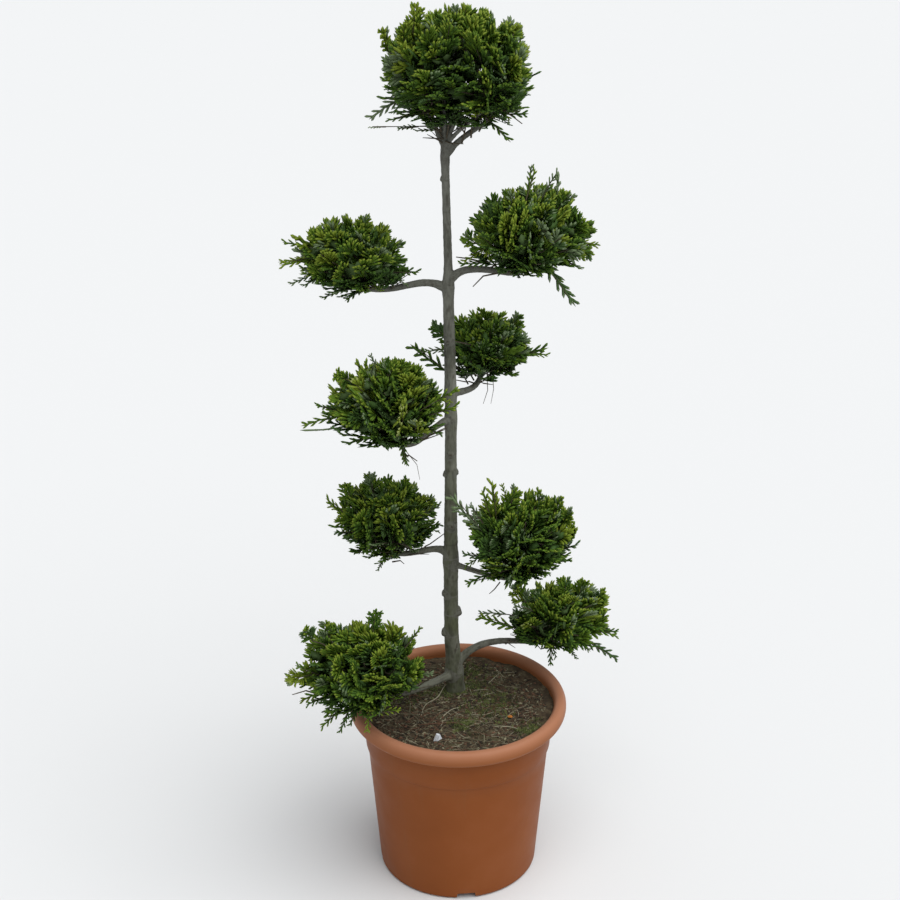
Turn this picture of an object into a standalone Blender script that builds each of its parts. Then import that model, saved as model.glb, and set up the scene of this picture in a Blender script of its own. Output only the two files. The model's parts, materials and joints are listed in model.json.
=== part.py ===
"""A Leyland cypress trained as a pom-pom tree, standing in a terracotta-coloured plastic pot.

Metres, +Z up, and the viewer of the front stands at -Y. The origin is the centre of the pot's underside,
on the ground. One slim trunk rises from the soil, and nine clipped balls of foliage sit on it: one on its
top and eight on the ends of short boughs.
"""

import math
import random

import bpy
from mathutils import Matrix, Vector, noise

GAP = 0.0003  # left between solids that touch

# Pot: a turned shell with a rolled rim, a shallow step under it, and a foot ring with drainage notches
POT_SEGMENTS = 36
POT_HEIGHT = 0.333
WALL = 0.003
BASE_RADIUS = 0.1395
WALL_FLARE = 0.082  # how much the radius grows for each metre of height
STEP_HEIGHT = 0.243
STEP_OUT = 0.0015
RIM_RADIUS = 0.190
RIM_WIDTH = 0.022
RIM_DEPTH = 0.030
RIM_POINTS = 11
RIM_SQUARENESS = 2.5
INNER_WALL_TOP = 0.298
HUB_RADIUS = 0.070  # flat middle of the underside, which stands on the ground
FOOT_RADIUS = 0.122  # inner edge of the foot ring
FOOT_ROUND = 0.007  # rounding of the pot's bottom edge
CHANNEL_HEIGHT = 0.012  # the underside is raised by this between hub and foot ring
CHANNEL_SIDE = 0.004
NOTCHES = 4
NOTCH_BEARING = -84.0
NOTCH_WIDTH = 0.034
NOTCH_TOP_WIDTH = 0.028
DRAIN_RADIUS = 0.006
DRAIN_RING = 0.098
DRAIN_SIDES = 8

# Soil: fills the pot, and is level where the trunk stands
SOIL_TOP = 0.305
SOIL_RELIEF = 0.006
SOIL_GRAIN = 22.0
SOIL_RINGS = 4
LEVEL_RADIUS = 0.060

# Trunk: height, offset across, offset in depth and radius, from the soil to the tip
TRUNK_STATIONS = (
    (0.305, -0.0045, 0.0620, 0.0152),
    (0.370, -0.0080, 0.0555, 0.0140),
    (0.430, -0.0115, 0.0510, 0.0128),
    (0.580, -0.0123, 0.0450, 0.0122),
    (0.720, -0.0122, 0.0405, 0.0104),
    (0.880, -0.0122, 0.0350, 0.0098),
    (1.060, -0.0155, 0.0290, 0.0086),
    (1.120, -0.0160, 0.0270, 0.0068),
    (1.335, -0.0215, 0.0200, 0.0064),
)
TRUNK_SIDES = 12
TRUNK_RINGS = 25
FLARE = 0.0045  # how far the root flare stands out at the soil
FLARE_HEIGHT = 0.016
COLLAR = 0.0014  # swelling of the trunk where a bough leaves
COLLAR_HEIGHT = 0.012

# Stubs left by pruned boughs: height, bearing and radius
STUBS = (
    (0.468, 8.0, 0.0105),
    (0.426, 186.0, 0.0090),
    (0.506, 196.0, 0.0070),
    (0.740, -6.0, 0.0062),
    (0.736, 178.0, 0.0062),
    (0.640, -80.0, 0.0060),
    (0.775, -96.0, 0.0056),
    (0.978, -104.0, 0.0050),
    (1.248, 184.0, 0.0048),
)
STUB_SUNK = 0.36  # of its radius, how deep a stub's middle lies under the bark
STUB_SIDES = 7
STUB_RINGS = 4

# Boughs: height on the trunk, foot of the ball they carry, angles of rise at both ends, how far each end
# runs straight, and radii
BOUGHS = {
    "crown_fork": dict(
        height=1.283, foot=(0.044, 0.010, 1.341),
        leave=62, arrive=30, pull=(0.030, 0.018),
        radii=(0.0052, 0.0036),
    ),
    "high_left": dict(
        height=1.066, foot=(-0.140, 0.045, 1.062),
        leave=36, arrive=4, pull=(0.048, 0.052),
        radii=(0.0066, 0.0044),
    ),
    "high_right": dict(
        height=1.078, foot=(0.080, -0.008, 1.106),
        leave=62, arrive=-4, pull=(0.036, 0.050),
        radii=(0.0068, 0.0046),
    ),
    "mid_back": dict(
        height=0.886, foot=(0.039, 0.115, 0.888),
        leave=-14, arrive=56, pull=(0.055, 0.026),
        radii=(0.0060, 0.0046),
    ),
    "mid_front": dict(
        height=0.838, foot=(-0.078, -0.035, 0.824),
        leave=12, arrive=8, pull=(0.040, 0.034),
        radii=(0.0058, 0.0042),
    ),
    "low_left": dict(
        height=0.580, foot=(-0.094, 0.055, 0.580),
        leave=58, arrive=-10, pull=(0.030, 0.040),
        radii=(0.0068, 0.0046),
    ),
    "low_right": dict(
        height=0.567, foot=(0.088, -0.019, 0.571),
        leave=0, arrive=14, pull=(0.036, 0.036),
        radii=(0.0050, 0.0038),
    ),
    "rim_right": dict(
        height=0.348, foot=(0.124, 0.075, 0.395),
        leave=68, arrive=-10, pull=(0.064, 0.052),
        radii=(0.0076, 0.0046),
    ),
    "rim_left": dict(
        height=0.342, foot=(-0.110, -0.039, 0.357),
        leave=-2, arrive=26, pull=(0.044, 0.034),
        radii=(0.0074, 0.0048),
    ),
}
BOUGH_SIDES = 8
BOUGH_RINGS = 9
ROOT_CROWDING = 1.4  # the rings stand closer together towards the trunk
BOUGH_COLLAR = 0.22  # of its radius, how much a bough swells where it leaves the trunk
COLLAR_FROM_MIDDLE = 0.014
COLLAR_SPREAD = 0.008

# Balls of foliage: centre, then half width, half depth, rise above and drop below the centre. A stray is a
# shoot that escaped the shears: its bearing, its rise in degrees and its reach from the centre.
BALLS = {
    "crown": dict(
        centre=(-0.003, 0.020, 1.427),
        size=(0.114, 0.106, 0.088, 0.084),
        squareness=3.0,
        seed=11,
        sprays=29,
        strays=((178, -33, 0.160), (-8, -44, 0.120), (205, -30, 0.128), (20, -32, 0.118)),
    ),
    "high_left": dict(
        centre=(-0.168, 0.045, 1.118),
        size=(0.090, 0.088, 0.064, 0.058),
        squareness=2.2,
        seed=23,
        sprays=24,
        strays=((186, -3, 0.120), (183, 12, 0.114), (192, -20, 0.112), (-12, -26, 0.102)),
    ),
    "high_right": dict(
        centre=(0.112, -0.010, 1.177),
        size=(0.104, 0.096, 0.068, 0.066),
        squareness=2.3,
        seed=37,
        sprays=25,
        strays=(
            (90, 86, 0.102),
            (-10, 66, 0.104),
            (-8, -58, 0.134),
            (10, -14, 0.112),
            (190, -22, 0.118),
        ),
    ),
    "mid_back": dict(
        centre=(0.048, 0.135, 0.932),
        size=(0.084, 0.082, 0.062, 0.052),
        squareness=2.2,
        seed=41,
        sprays=23,
        strays=((184, -2, 0.118), (-2, -8, 0.108), (12, -12, 0.102)),
    ),
    "mid_front": dict(
        centre=(-0.115, -0.045, 0.901),
        size=(0.102, 0.094, 0.064, 0.062),
        squareness=2.3,
        seed=53,
        sprays=26,
        strays=((186, -14, 0.142), (-2, 4, 0.106), (-40, -66, 0.104), (150, 68, 0.084)),
    ),
    "low_left": dict(
        centre=(-0.122, 0.060, 0.648),
        size=(0.094, 0.090, 0.068, 0.070),
        squareness=2.2,
        seed=61,
        sprays=25,
        strays=((178, 12, 0.104), (-4, -16, 0.096)),
    ),
    "low_right": dict(
        centre=(0.104, -0.030, 0.657),
        size=(0.098, 0.092, 0.074, 0.074),
        squareness=2.2,
        seed=73,
        sprays=26,
        strays=((184, 26, 0.128), (176, -32, 0.112), (140, 62, 0.094)),
    ),
    "rim_right": dict(
        centre=(0.182, 0.080, 0.448),
        size=(0.094, 0.090, 0.056, 0.048),
        squareness=2.2,
        seed=89,
        sprays=24,
        strays=((184, 2, 0.148), (4, -26, 0.118), (-30, -42, 0.084), (-100, -50, 0.080)),
    ),
    "rim_left": dict(
        centre=(-0.159, -0.075, 0.426),
        size=(0.110, 0.098, 0.074, 0.070),
        squareness=2.3,
        seed=97,
        sprays=26,
        strays=((183, -2, 0.134), (188, -24, 0.124), (196, -46, 0.104), (80, 62, 0.090)),
    ),
}
UNEVENNESS = 0.07  # of its radius, how far a ball's outline waves in and out
WAVES = 17.0  # lumps for each metre across a ball's outline, as a frequency of noise
CORE_SHARE = 0.84  # of the ball's radius, how far the core reaches above
CORE_UNDER = 0.74  # the same below
CORE_TUFTS = (0.92, 1.06)  # spread of the core's corners in and out
CORE_SIDES = 11
CORE_RINGS = 6
CORE_FOOT = 0.016  # height of the core's lowest point above the stem's foot
FOOT_CLEAR = 26.0  # degrees round the stem with no spray
TIP_SPREAD = (0.95, 1.05)  # of the ball's radius, where the tips of clipped sprays lie
ROOT_DEPTH = 0.44  # of the ball's radius, where a clipped spray is rooted
ROOT_ASIDE = 0.34  # of the ball's radius, how far the root lies to one side of its tip
ROOT_LOW = 0.9  # how much that side leans to the one below
ROOT_INSIDE = 0.54  # the furthest out that a root may lie
SKIRT_FROM = -0.46  # direction's height under which sprays stand on twigs of their own
STEM_STRAIGHT = 0.003
STEM_SHARES = (0.0, 0.45, 1.0)
STEM_SIDES = 5
TWIG_ROOT = 0.0022
TWIG_TIP = 0.0009
TWIG_SINK = 0.36  # of a frond's length, how far its twig runs into it
SKIRT_TWIG = 0.50  # of the way to its tip, where a twig carries its spray
STRAY_TWIG = 0.56

# Sprays. A clipped one is a broad blade with three blunt teeth. A free one, on a twig, is a longer frond.
# Both outlines are given as places along the length and across half the width.
CLIPPED_WIDTH = 0.78  # of its length
CLIPPED_THICKNESS = 0.10
CLIPPED_MIDDLE = 0.52
CLIPPED_OUTLINE = ((0.0, 0.10), (0.64, 1.00), (0.78, 0.50), (1.0, 0.0))
FROND_WIDTH = 0.42
FROND_THICKNESS = 0.06
SKIRT_OUTLINE = ((0.0, 0.12), (0.52, 1.00), (0.60, 0.34))
STRAY_OUTLINE = ((0.0, 0.12), (0.36, 0.90), (0.42, 0.28), (0.70, 0.80), (0.74, 0.24))
TOOTH_LEAN = 0.10  # of its length, how far a frond's teeth point forward
FREE_FACE = Vector((0.0, -0.6, 1.0))  # the way the sprays on twigs face
LIMB_MARGIN = 0.0045  # kept between a spray or twig and any limb
CHECK_STEP = 0.006

BARK = (0.105, 0.098, 0.082)
FOLIAGE = (0.036, 0.092, 0.020)
TERRACOTTA = (0.300, 0.105, 0.048)
EARTH = (0.060, 0.042, 0.026)


def clear_scene():
    for obj in list(bpy.data.objects):
        bpy.data.objects.remove(obj, do_unlink=True)


def make_material(name, colour, roughness):
    material = bpy.data.materials.new(name)
    material.use_nodes = True
    shader = material.node_tree.nodes["Principled BSDF"]
    shader.inputs["Base Color"].default_value = (*colour, 1.0)
    shader.inputs["Roughness"].default_value = roughness
    shader.inputs["Metallic"].default_value = 0.0
    material.diffuse_color = (*colour, 1.0)
    return material


def make_object(name, points, faces, material=None, parent=None):
    mesh = bpy.data.meshes.new(name)
    mesh.from_pydata([tuple(point) for point in points], [], faces)
    mesh.validate()
    if material:
        mesh.materials.append(material)
    obj = bpy.data.objects.new(name, mesh)
    bpy.context.scene.collection.objects.link(obj)
    obj.parent = parent
    return obj


def as_helper(obj):
    obj.hide_render = True
    obj.display_type = "WIRE"
    return obj


def smooth_rounds(obj, degrees=35.0):
    obj.data.shade_smooth()
    obj.data.set_sharp_from_angle(angle=math.radians(degrees))


def boolean(obj, operation, other):
    """Cuts a helper out of the object, or joins a collection to it."""
    modifier = obj.modifiers.new(operation.title(), "BOOLEAN")
    modifier.operation = operation
    if isinstance(other, bpy.types.Collection):
        modifier.operand_type = "COLLECTION"
        modifier.collection = other
        modifier.solver = "MANIFOLD"
    else:
        modifier.object = other
        modifier.solver = "EXACT"


def apply_modifiers(obj):
    graph = bpy.context.evaluated_depsgraph_get()
    made = bpy.data.meshes.new_from_object(obj.evaluated_get(graph))
    obj.modifiers.clear()
    obj.data = made


def turned(profile, segments, lift=None):
    """Points and faces of a profile of (radius, height) turned round +Z. Its two ends lie on the axis.

    It runs from the bottom up the outside. lift moves a point after turning.
    """
    points, faces, rings = [], [], []
    for radius, height in profile:
        if radius == 0.0:
            rings.append([len(points)])
            points.append(Vector((0.0, 0.0, height)))
            continue
        rings.append(list(range(len(points), len(points) + segments)))
        for k in range(segments):
            angle = 2.0 * math.pi * k / segments
            points.append(Vector((radius * math.cos(angle), radius * math.sin(angle), height)))
    if lift:
        points = [lift(point) for point in points]
    for low, high in zip(rings, rings[1:]):
        for k in range(segments):
            after = (k + 1) % segments
            if len(low) == 1:
                faces.append((low[0], high[after], high[k]))
            elif len(high) == 1:
                faces.append((low[k], low[after], high[0]))
            else:
                faces.append((low[k], low[after], high[after], high[k]))
    return points, faces


def ringed(rings):
    """Points and faces of a closed skin over rings of equal count, with flat ends."""
    points = [point for ring in rings for point in ring]
    sides = len(rings[0])
    faces = [tuple(reversed(range(sides)))]
    for low in range(len(rings) - 1):
        for k in range(sides):
            after = (k + 1) % sides
            a, b = low * sides, (low + 1) * sides
            faces.append((a + k, a + after, b + after, b + k))
    last = (len(rings) - 1) * sides
    faces.append(tuple(range(last, last + sides)))
    return points, faces


def tube(line, radii, sides):
    """A closed tapering tube along a line of points."""
    rings = []
    across = None
    for k, point in enumerate(line):
        before, after = line[max(k - 1, 0)], line[min(k + 1, len(line) - 1)]
        heading = (after - before).normalized()
        if across is None:
            across = heading.orthogonal().normalized()
        across = (across - heading * across.dot(heading)).normalized()
        up = heading.cross(across)
        ring = []
        for side in range(sides):
            angle = 2.0 * math.pi * side / sides
            ring.append(point + radii[k] * (math.cos(angle) * across + math.sin(angle) * up))
        rings.append(ring)
    return ringed(rings)


def bezier(start, start_pull, end_pull, end, shares):
    line = []
    for t in shares:
        s = 1.0 - t
        line.append(s**3 * start + 3 * s * s * t * start_pull + 3 * s * t * t * end_pull + t**3 * end)
    return line


def towards(bearing, rise):
    """A unit vector at a bearing from +X and a rise above the horizon, both in degrees."""
    b, r = math.radians(bearing), math.radians(rise)
    return Vector((math.cos(b) * math.cos(r), math.sin(b) * math.cos(r), math.sin(r)))


def wall_radius(height):
    return BASE_RADIUS + WALL_FLARE * height


def rim_section():
    """The rolled rim's section, from its underside round the outside and over the top to the inside."""
    middle = RIM_RADIUS - RIM_WIDTH / 2
    level = POT_HEIGHT - RIM_DEPTH / 2
    power = 2.0 / RIM_SQUARENESS
    section = []
    for k in range(RIM_POINTS):
        angle = math.radians(-118.0 + 316.0 * k / (RIM_POINTS - 1))
        c, s = math.cos(angle), math.sin(angle)
        section.append(
            (
                middle + RIM_WIDTH / 2 * math.copysign(abs(c) ** power, c),
                level + RIM_DEPTH / 2 * math.copysign(abs(s) ** power, s),
            )
        )
    return section


def inner_line(offset):
    """The pot's inner face from under the rim down to the axis, moved inwards by offset."""
    floor = CHANNEL_HEIGHT + WALL
    return [
        (wall_radius(INNER_WALL_TOP) + STEP_OUT - WALL - offset, INNER_WALL_TOP),
        (wall_radius(STEP_HEIGHT) - WALL - offset, STEP_HEIGHT),
        (wall_radius(floor) - WALL - offset, floor + offset),
        (HUB_RADIUS + CHANNEL_SIDE - WALL - offset, floor + offset),
        (HUB_RADIUS - WALL - offset, WALL + offset),
        (0.0, WALL + offset),
    ]


def build_pot(material, parent):
    rim_bottom = POT_HEIGHT - RIM_DEPTH
    outside = [
        (0.0, 0.0),
        (HUB_RADIUS, 0.0),
        (HUB_RADIUS + CHANNEL_SIDE, CHANNEL_HEIGHT),
        (FOOT_RADIUS - CHANNEL_SIDE, CHANNEL_HEIGHT),
        (FOOT_RADIUS, 0.0),
        (BASE_RADIUS - FOOT_ROUND, 0.0),
        (wall_radius(FOOT_ROUND) - FOOT_ROUND * 0.3, FOOT_ROUND * 0.3),
        (wall_radius(FOOT_ROUND), FOOT_ROUND),
        (wall_radius(STEP_HEIGHT), STEP_HEIGHT),
        (wall_radius(STEP_HEIGHT) + STEP_OUT, STEP_HEIGHT + STEP_OUT),
        (wall_radius(rim_bottom) + STEP_OUT, rim_bottom + STEP_OUT),
    ]
    points, faces = turned(outside + rim_section() + inner_line(0.0), POT_SEGMENTS)
    pot = make_object("pot", points, faces, material, parent)
    boolean(pot, "DIFFERENCE", pot_cutter())
    smooth_rounds(pot)
    return pot


def pot_cutter():
    """The notches through the foot ring, and the round drains in the raised channel behind them."""
    points, faces = [], []
    reach = BASE_RADIUS + CHANNEL_HEIGHT
    for k in range(NOTCHES):
        bearing = NOTCH_BEARING + 360.0 * k / NOTCHES
        turn = Matrix.Rotation(math.radians(bearing), 3, "Z")
        low, high = NOTCH_WIDTH / 2, NOTCH_TOP_WIDTH / 2
        bottom = -CHANNEL_HEIGHT
        right = ((low, bottom), (low, 0.0), (high, CHANNEL_HEIGHT))
        section = right + tuple((-y, z) for y, z in reversed(right))
        inner = FOOT_RADIUS - 2.0 * CHANNEL_SIDE
        rings = [[turn @ Vector((x, y, z)) for y, z in section] for x in (inner, reach)]
        add_shell(points, faces, ringed(rings))
        drain = towards(bearing + 180.0 / NOTCHES, 0.0) * DRAIN_RING
        line = [drain + Vector((0.0, 0.0, z)) for z in (0.0, CHANNEL_HEIGHT + 2.0 * WALL)]
        add_shell(points, faces, tube(line, (DRAIN_RADIUS, DRAIN_RADIUS), DRAIN_SIDES))
    return as_helper(make_object("pot_cutter", points, faces))


def add_shell(points, faces, shell):
    first = len(points)
    points.extend(shell[0])
    faces.extend(tuple(first + k for k in face) for face in shell[1])


def soil_level(point):
    """The top's height over a point: uneven, but level round the trunk's foot and at the pot's wall."""
    foot = Vector(TRUNK_STATIONS[0][1:3])
    away = (Vector(point[:2]) - foot).length
    share = min(max((away - LEVEL_RADIUS) / LEVEL_RADIUS, 0.0), 1.0)
    lumps = noise.noise(Vector((point[0], point[1], 0.0)) * SOIL_GRAIN)
    return SOIL_TOP + SOIL_RELIEF * share * lumps


def build_soil(material, parent):
    """Fills the pot to SOIL_TOP with the clearance GAP to its wall and floor."""
    side = list(reversed(inner_line(GAP)))
    edge = wall_radius(INNER_WALL_TOP) + STEP_OUT - WALL - GAP
    rings = [(edge * (SOIL_RINGS - k) / SOIL_RINGS, SOIL_TOP) for k in range(SOIL_RINGS + 1)]

    def lift(point):
        if point.z < SOIL_TOP:
            return point
        return Vector((point.x, point.y, soil_level(point)))

    points, faces = turned(side + rings, POT_SEGMENTS, lift)
    return make_object("soil", points, faces, material, parent)


def trunk_at(height):
    """Centre and radius of the trunk at a height, smoothly between the stations."""
    stations = TRUNK_STATIONS
    last = len(stations) - 1
    k = max(i for i in range(last) if stations[i][0] <= height or i == 0)
    low, high = stations[k], stations[k + 1]
    t = min(max((height - low[0]) / (high[0] - low[0]), 0.0), 1.0)
    values = []
    for column in (1, 2, 3):
        slopes = []
        for i in (k, k + 1):
            a, b = stations[max(i - 1, 0)], stations[min(i + 1, last)]
            slopes.append((b[column] - a[column]) / (b[0] - a[0]) * (high[0] - low[0]))
        t2, t3 = t * t, t * t * t
        values.append(
            (2 * t3 - 3 * t2 + 1) * low[column]
            + (t3 - 2 * t2 + t) * slopes[0]
            + (3 * t2 - 2 * t3) * high[column]
            + (t3 - t2) * slopes[1]
        )
    return Vector((values[0], values[1], height)), values[2]


def trunk_shell(extra):
    """The trunk with its root flare and its collars, thicker by extra all round."""
    base, tip = TRUNK_STATIONS[0][0] + GAP, TRUNK_STATIONS[-1][0]
    rings = []
    for k in range(TRUNK_RINGS):
        share = k / (TRUNK_RINGS - 1)
        height = base + (tip - base) * share**1.15
        centre, radius = trunk_at(height)
        flare = math.exp(-(height - base) / FLARE_HEIGHT)
        for bough in BOUGHS.values():
            radius += COLLAR * math.exp(-(((height - bough["height"]) / COLLAR_HEIGHT) ** 2))
        ring = []
        for side in range(TRUNK_SIDES):
            angle = 2.0 * math.pi * side / TRUNK_SIDES
            reach = radius + extra + FLARE * flare * (0.65 + 0.35 * math.cos(3.0 * angle + 0.6))
            ring.append(centre + reach * Vector((math.cos(angle), math.sin(angle), 0.0)))
        rings.append(ring)
    return ringed(rings)


def round_profile(rings, radius=1.0):
    """A half circle from the bottom to the top of the axis, to turn into a ball."""
    profile = [(0.0, -radius)]
    for k in range(1, rings):
        angle = math.pi * k / rings
        profile.append((radius * math.sin(angle), -radius * math.cos(angle)))
    return profile + [(0.0, radius)]


def stub_shell(height, bearing, radius):
    centre, girth = trunk_at(height)
    centre += towards(bearing, 0.0) * (girth - radius * STUB_SUNK)
    points, faces = turned(round_profile(STUB_RINGS, radius), STUB_SIDES)
    return [centre + point for point in points], faces


def fuse(obj, shells):
    """Joins closed shells to the object, and removes them afterwards."""
    pieces = bpy.data.collections.new(obj.name + "_pieces")
    bpy.context.scene.collection.children.link(pieces)
    for k, (points, faces) in enumerate(shells):
        piece = make_object(f"{obj.name}_{k}", points, faces)
        bpy.context.scene.collection.objects.unlink(piece)
        pieces.objects.link(piece)
    boolean(obj, "UNION", pieces)
    apply_modifiers(obj)
    for piece in list(pieces.objects):
        bpy.data.objects.remove(piece, do_unlink=True)
    bpy.data.collections.remove(pieces)


def build_trunk(material, parent):
    trunk = make_object("trunk", *trunk_shell(0.0), material, parent)
    fuse(trunk, [stub_shell(*stub) for stub in STUBS])
    smooth_rounds(trunk)
    return trunk


def bough_line(bough):
    """The bough's centre line from the trunk's middle to its foot, and its radii."""
    start, _ = trunk_at(bough["height"])
    end = Vector(bough["foot"])
    bearing = math.degrees(math.atan2(end.y - start.y, end.x - start.x))
    leave, arrive = towards(bearing, bough["leave"]), towards(bearing, bough["arrive"])
    shares = [(k / (BOUGH_RINGS - 1)) ** ROOT_CROWDING for k in range(BOUGH_RINGS)]
    line = bezier(start, start + leave * bough["pull"][0], end - arrive * bough["pull"][1], end, shares)
    root, tip = bough["radii"]
    radii = []
    for share, point in zip(shares, line):
        beyond = ((point - start).length - COLLAR_FROM_MIDDLE) / COLLAR_SPREAD
        radii.append((root + (tip - root) * share) * (1.0 + BOUGH_COLLAR * math.exp(-beyond * beyond)))
    return line, radii


def build_bough(name, bough, trunk_cutter, material, parent):
    line, radii = bough_line(bough)
    obj = make_object(name + "_bough", *tube(line, radii, BOUGH_SIDES), material, parent)
    boolean(obj, "DIFFERENCE", trunk_cutter)
    smooth_rounds(obj)
    return obj


def ball_radius(ball, direction):
    """How far a ball's clipped outline lies from its centre in a direction."""
    width, depth, rise, drop = ball["size"]
    height = rise if direction.z > 0.0 else drop
    power = ball["squareness"]
    total = abs(direction.x / width) ** power + abs(direction.y / depth) ** power
    total += abs(direction.z / height) ** power
    lumps = noise.noise(direction * WAVES * width + Vector((ball["seed"], 0.0, 0.0)))
    return total ** (-1.0 / power) * (1.0 + UNEVENNESS * lumps)


def feet_of(name):
    """Where each stem of a ball starts: point, heading and radius of the limb's end."""
    feet = []
    if name == "crown":
        tip, radius = trunk_at(TRUNK_STATIONS[-1][0])
        feet.append((tip, Vector((0.0, 0.0, 1.0)), radius))
    for bough_name in (name, name + "_fork"):
        if bough_name in BOUGHS:
            line, radii = bough_line(BOUGHS[bough_name])
            feet.append((line[-1], (line[-1] - line[-2]).normalized(), radii[-1]))
    return feet


def core_shell(name, ball):
    """The dense inside of a ball: a tufted dome above, and a cone down to the stem's foot below."""
    chance = random.Random(ball["seed"] + 1)
    centre = Vector(ball["centre"])
    lowest = feet_of(name)[0][0] + Vector((0.0, 0.0, CORE_FOOT))

    def lift(point):
        direction = point.normalized()
        share = CORE_SHARE if direction.z > -0.1 else CORE_UNDER
        place = centre + direction * ball_radius(ball, direction) * share * chance.uniform(*CORE_TUFTS)
        if direction.z < -0.5:
            place = place.lerp(lowest, min(1.0, (-direction.z - 0.5) / 0.45))
        return place

    return turned(round_profile(CORE_RINGS), CORE_SIDES, lift)


def stem_line(ball, foot, heading):
    """A stem from its limb's end, with GAP between, that curves up into the core."""
    start = foot + heading * (GAP + STEM_STRAIGHT)
    middle = Vector(ball["centre"])
    goal = Vector((foot.x, foot.y, middle.z)).lerp(middle, 0.6)
    pull = (goal - start).length * 0.4
    curve = bezier(start, start + heading * pull, goal - Vector((0.0, 0.0, pull)), goal, STEM_SHARES)
    return [foot + heading * GAP] + curve


def clear_of_limbs(point, limbs, margin):
    """Whether a point lies clear of the trunk, every bough and the pot by the margin."""
    if TRUNK_STATIONS[0][0] - margin < point.z < TRUNK_STATIONS[-1][0] + margin:
        centre, radius = trunk_at(point.z)
        if (point - centre).length < radius + margin:
            return False
    for line, radii in limbs:
        for k, place in enumerate(line):
            if (point - place).length < radii[k] + margin:
                return False
    across = Vector(point[:2]).length
    return point.z > POT_HEIGHT + margin or across > RIM_RADIUS + margin


def dense_limbs():
    """Every bough as closely set points and radii, for clear_of_limbs."""
    limbs = []
    for bough in BOUGHS.values():
        line, radii = bough_line(bough)
        places, girths = [], []
        for k in range(len(line) - 1):
            steps = max(2, math.ceil((line[k + 1] - line[k]).length / CHECK_STEP))
            for step in range(steps):
                t = step / steps
                places.append(line[k].lerp(line[k + 1], t))
                girths.append(radii[k] + (radii[k + 1] - radii[k]) * t)
        limbs.append((places + [line[-1]], girths + [radii[-1]]))
    return limbs


def blade_axes(root, tip, face):
    """A blade's length, heading, normal and the way across it, from the way its face looks."""
    length = (tip - root).length
    heading = (tip - root) / length
    normal = (face - heading * face.dot(heading)).normalized()
    return length, heading, normal, normal.cross(heading)


def clipped_spray(root, tip, face, outline):
    """A broad toothed blade: its outline, and one raised point on each face."""
    length, heading, normal, across = blade_axes(root, tip, face)
    half = across * length * CLIPPED_WIDTH / 2
    both_sides = outline + tuple((along, -out) for along, out in reversed(outline[:-1]))
    rim = [root + heading * length * along + half * out for along, out in both_sides]
    middle = root + heading * length * CLIPPED_MIDDLE
    rise = normal * length * CLIPPED_THICKNESS / 2
    count = len(rim)
    faces = []
    for k in range(count):
        after = (k + 1) % count
        faces.append((after, k, count))
        faces.append((k, after, count + 1))
    return rim + [middle + rise, middle - rise], faces


def frond(root, tip, face, outline):
    """A long toothed blade with a rib along each face."""
    length, heading, normal, across = blade_axes(root, tip, face)
    rings = []
    for along, out in outline:
        place = root + heading * length * along
        tooth = heading * length * TOOTH_LEAN * out + across * length * FROND_WIDTH / 2 * out
        other = heading * length * TOOTH_LEAN * out - across * length * FROND_WIDTH / 2 * out
        rise = normal * length * FROND_THICKNESS / 2
        rings.append([place + tooth, place + rise, place + other, place - rise])
    points, faces = ringed(rings)
    last = faces.pop()
    faces.extend((last[k], last[(k + 1) % len(last)], len(points)) for k in range(len(last)))
    return points + [tip], faces


def directions(count, chance):
    """Unit vectors spread evenly over the sphere, each moved a little."""
    turn = math.pi * (3.0 - math.sqrt(5.0))
    spread = 0.5 / math.sqrt(count)
    for k in range(count):
        z = 1.0 - 2.0 * (k + 0.5) / count
        ring = math.sqrt(1.0 - z * z)
        moved = Vector((ring * math.cos(turn * k), ring * math.sin(turn * k), z))
        moved += Vector([chance.uniform(-spread, spread) for _ in range(3)])
        yield moved.normalized()


def clipped_root(ball, centre, direction, aside):
    """Where a clipped spray is rooted: to one side of its direction, and always well inside the core."""
    if direction.z > SKIRT_FROM / 2:
        aside = aside - Vector((0.0, 0.0, ROOT_LOW))
    out = ball_radius(ball, direction)
    offset = direction * out * ROOT_DEPTH + aside.normalized() * out * ROOT_ASIDE
    share = offset.length / ball_radius(ball, offset.normalized())
    return centre + offset * min(1.0, ROOT_INSIDE / share)


def shoots_of(name, ball):
    """Each spray of a ball by the seeded rule.

    A spray is where its twig starts if it has one, its root, its tip, the way it faces, and its outline.
    """
    chance = random.Random(ball["seed"])
    centre = Vector(ball["centre"])
    stems = [stem_line(ball, foot, heading) for foot, heading, _ in feet_of(name)]
    down = (stems[0][0] - centre).normalized()
    shoots = []
    for direction in directions(ball["sprays"], chance):
        reach = chance.uniform(*TIP_SPREAD)
        aside = Vector([chance.uniform(-1.0, 1.0) for _ in range(3)])
        if direction.angle(down) < math.radians(FOOT_CLEAR):
            continue
        tip = centre + direction * ball_radius(ball, direction) * reach
        if direction.z > SKIRT_FROM:
            root = clipped_root(ball, centre, direction, aside)
            shoots.append((None, root, tip, direction, CLIPPED_OUTLINE))
            continue
        source = min((line[2] for line in stems), key=lambda place: (place - tip).length)
        shoots.append((source, source.lerp(tip, SKIRT_TWIG), tip, FREE_FACE + aside * 0.4, SKIRT_OUTLINE))
    for bearing, rise, reach in ball["strays"]:
        aside = Vector([chance.uniform(-1.0, 1.0) for _ in range(3)])
        tip = centre + towards(bearing, rise) * reach
        source = min((line[3] for line in stems), key=lambda place: (place - tip).length)
        shoots.append((source, source.lerp(tip, STRAY_TWIG), tip, FREE_FACE + aside * 0.4, STRAY_OUTLINE))
    return shoots


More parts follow.
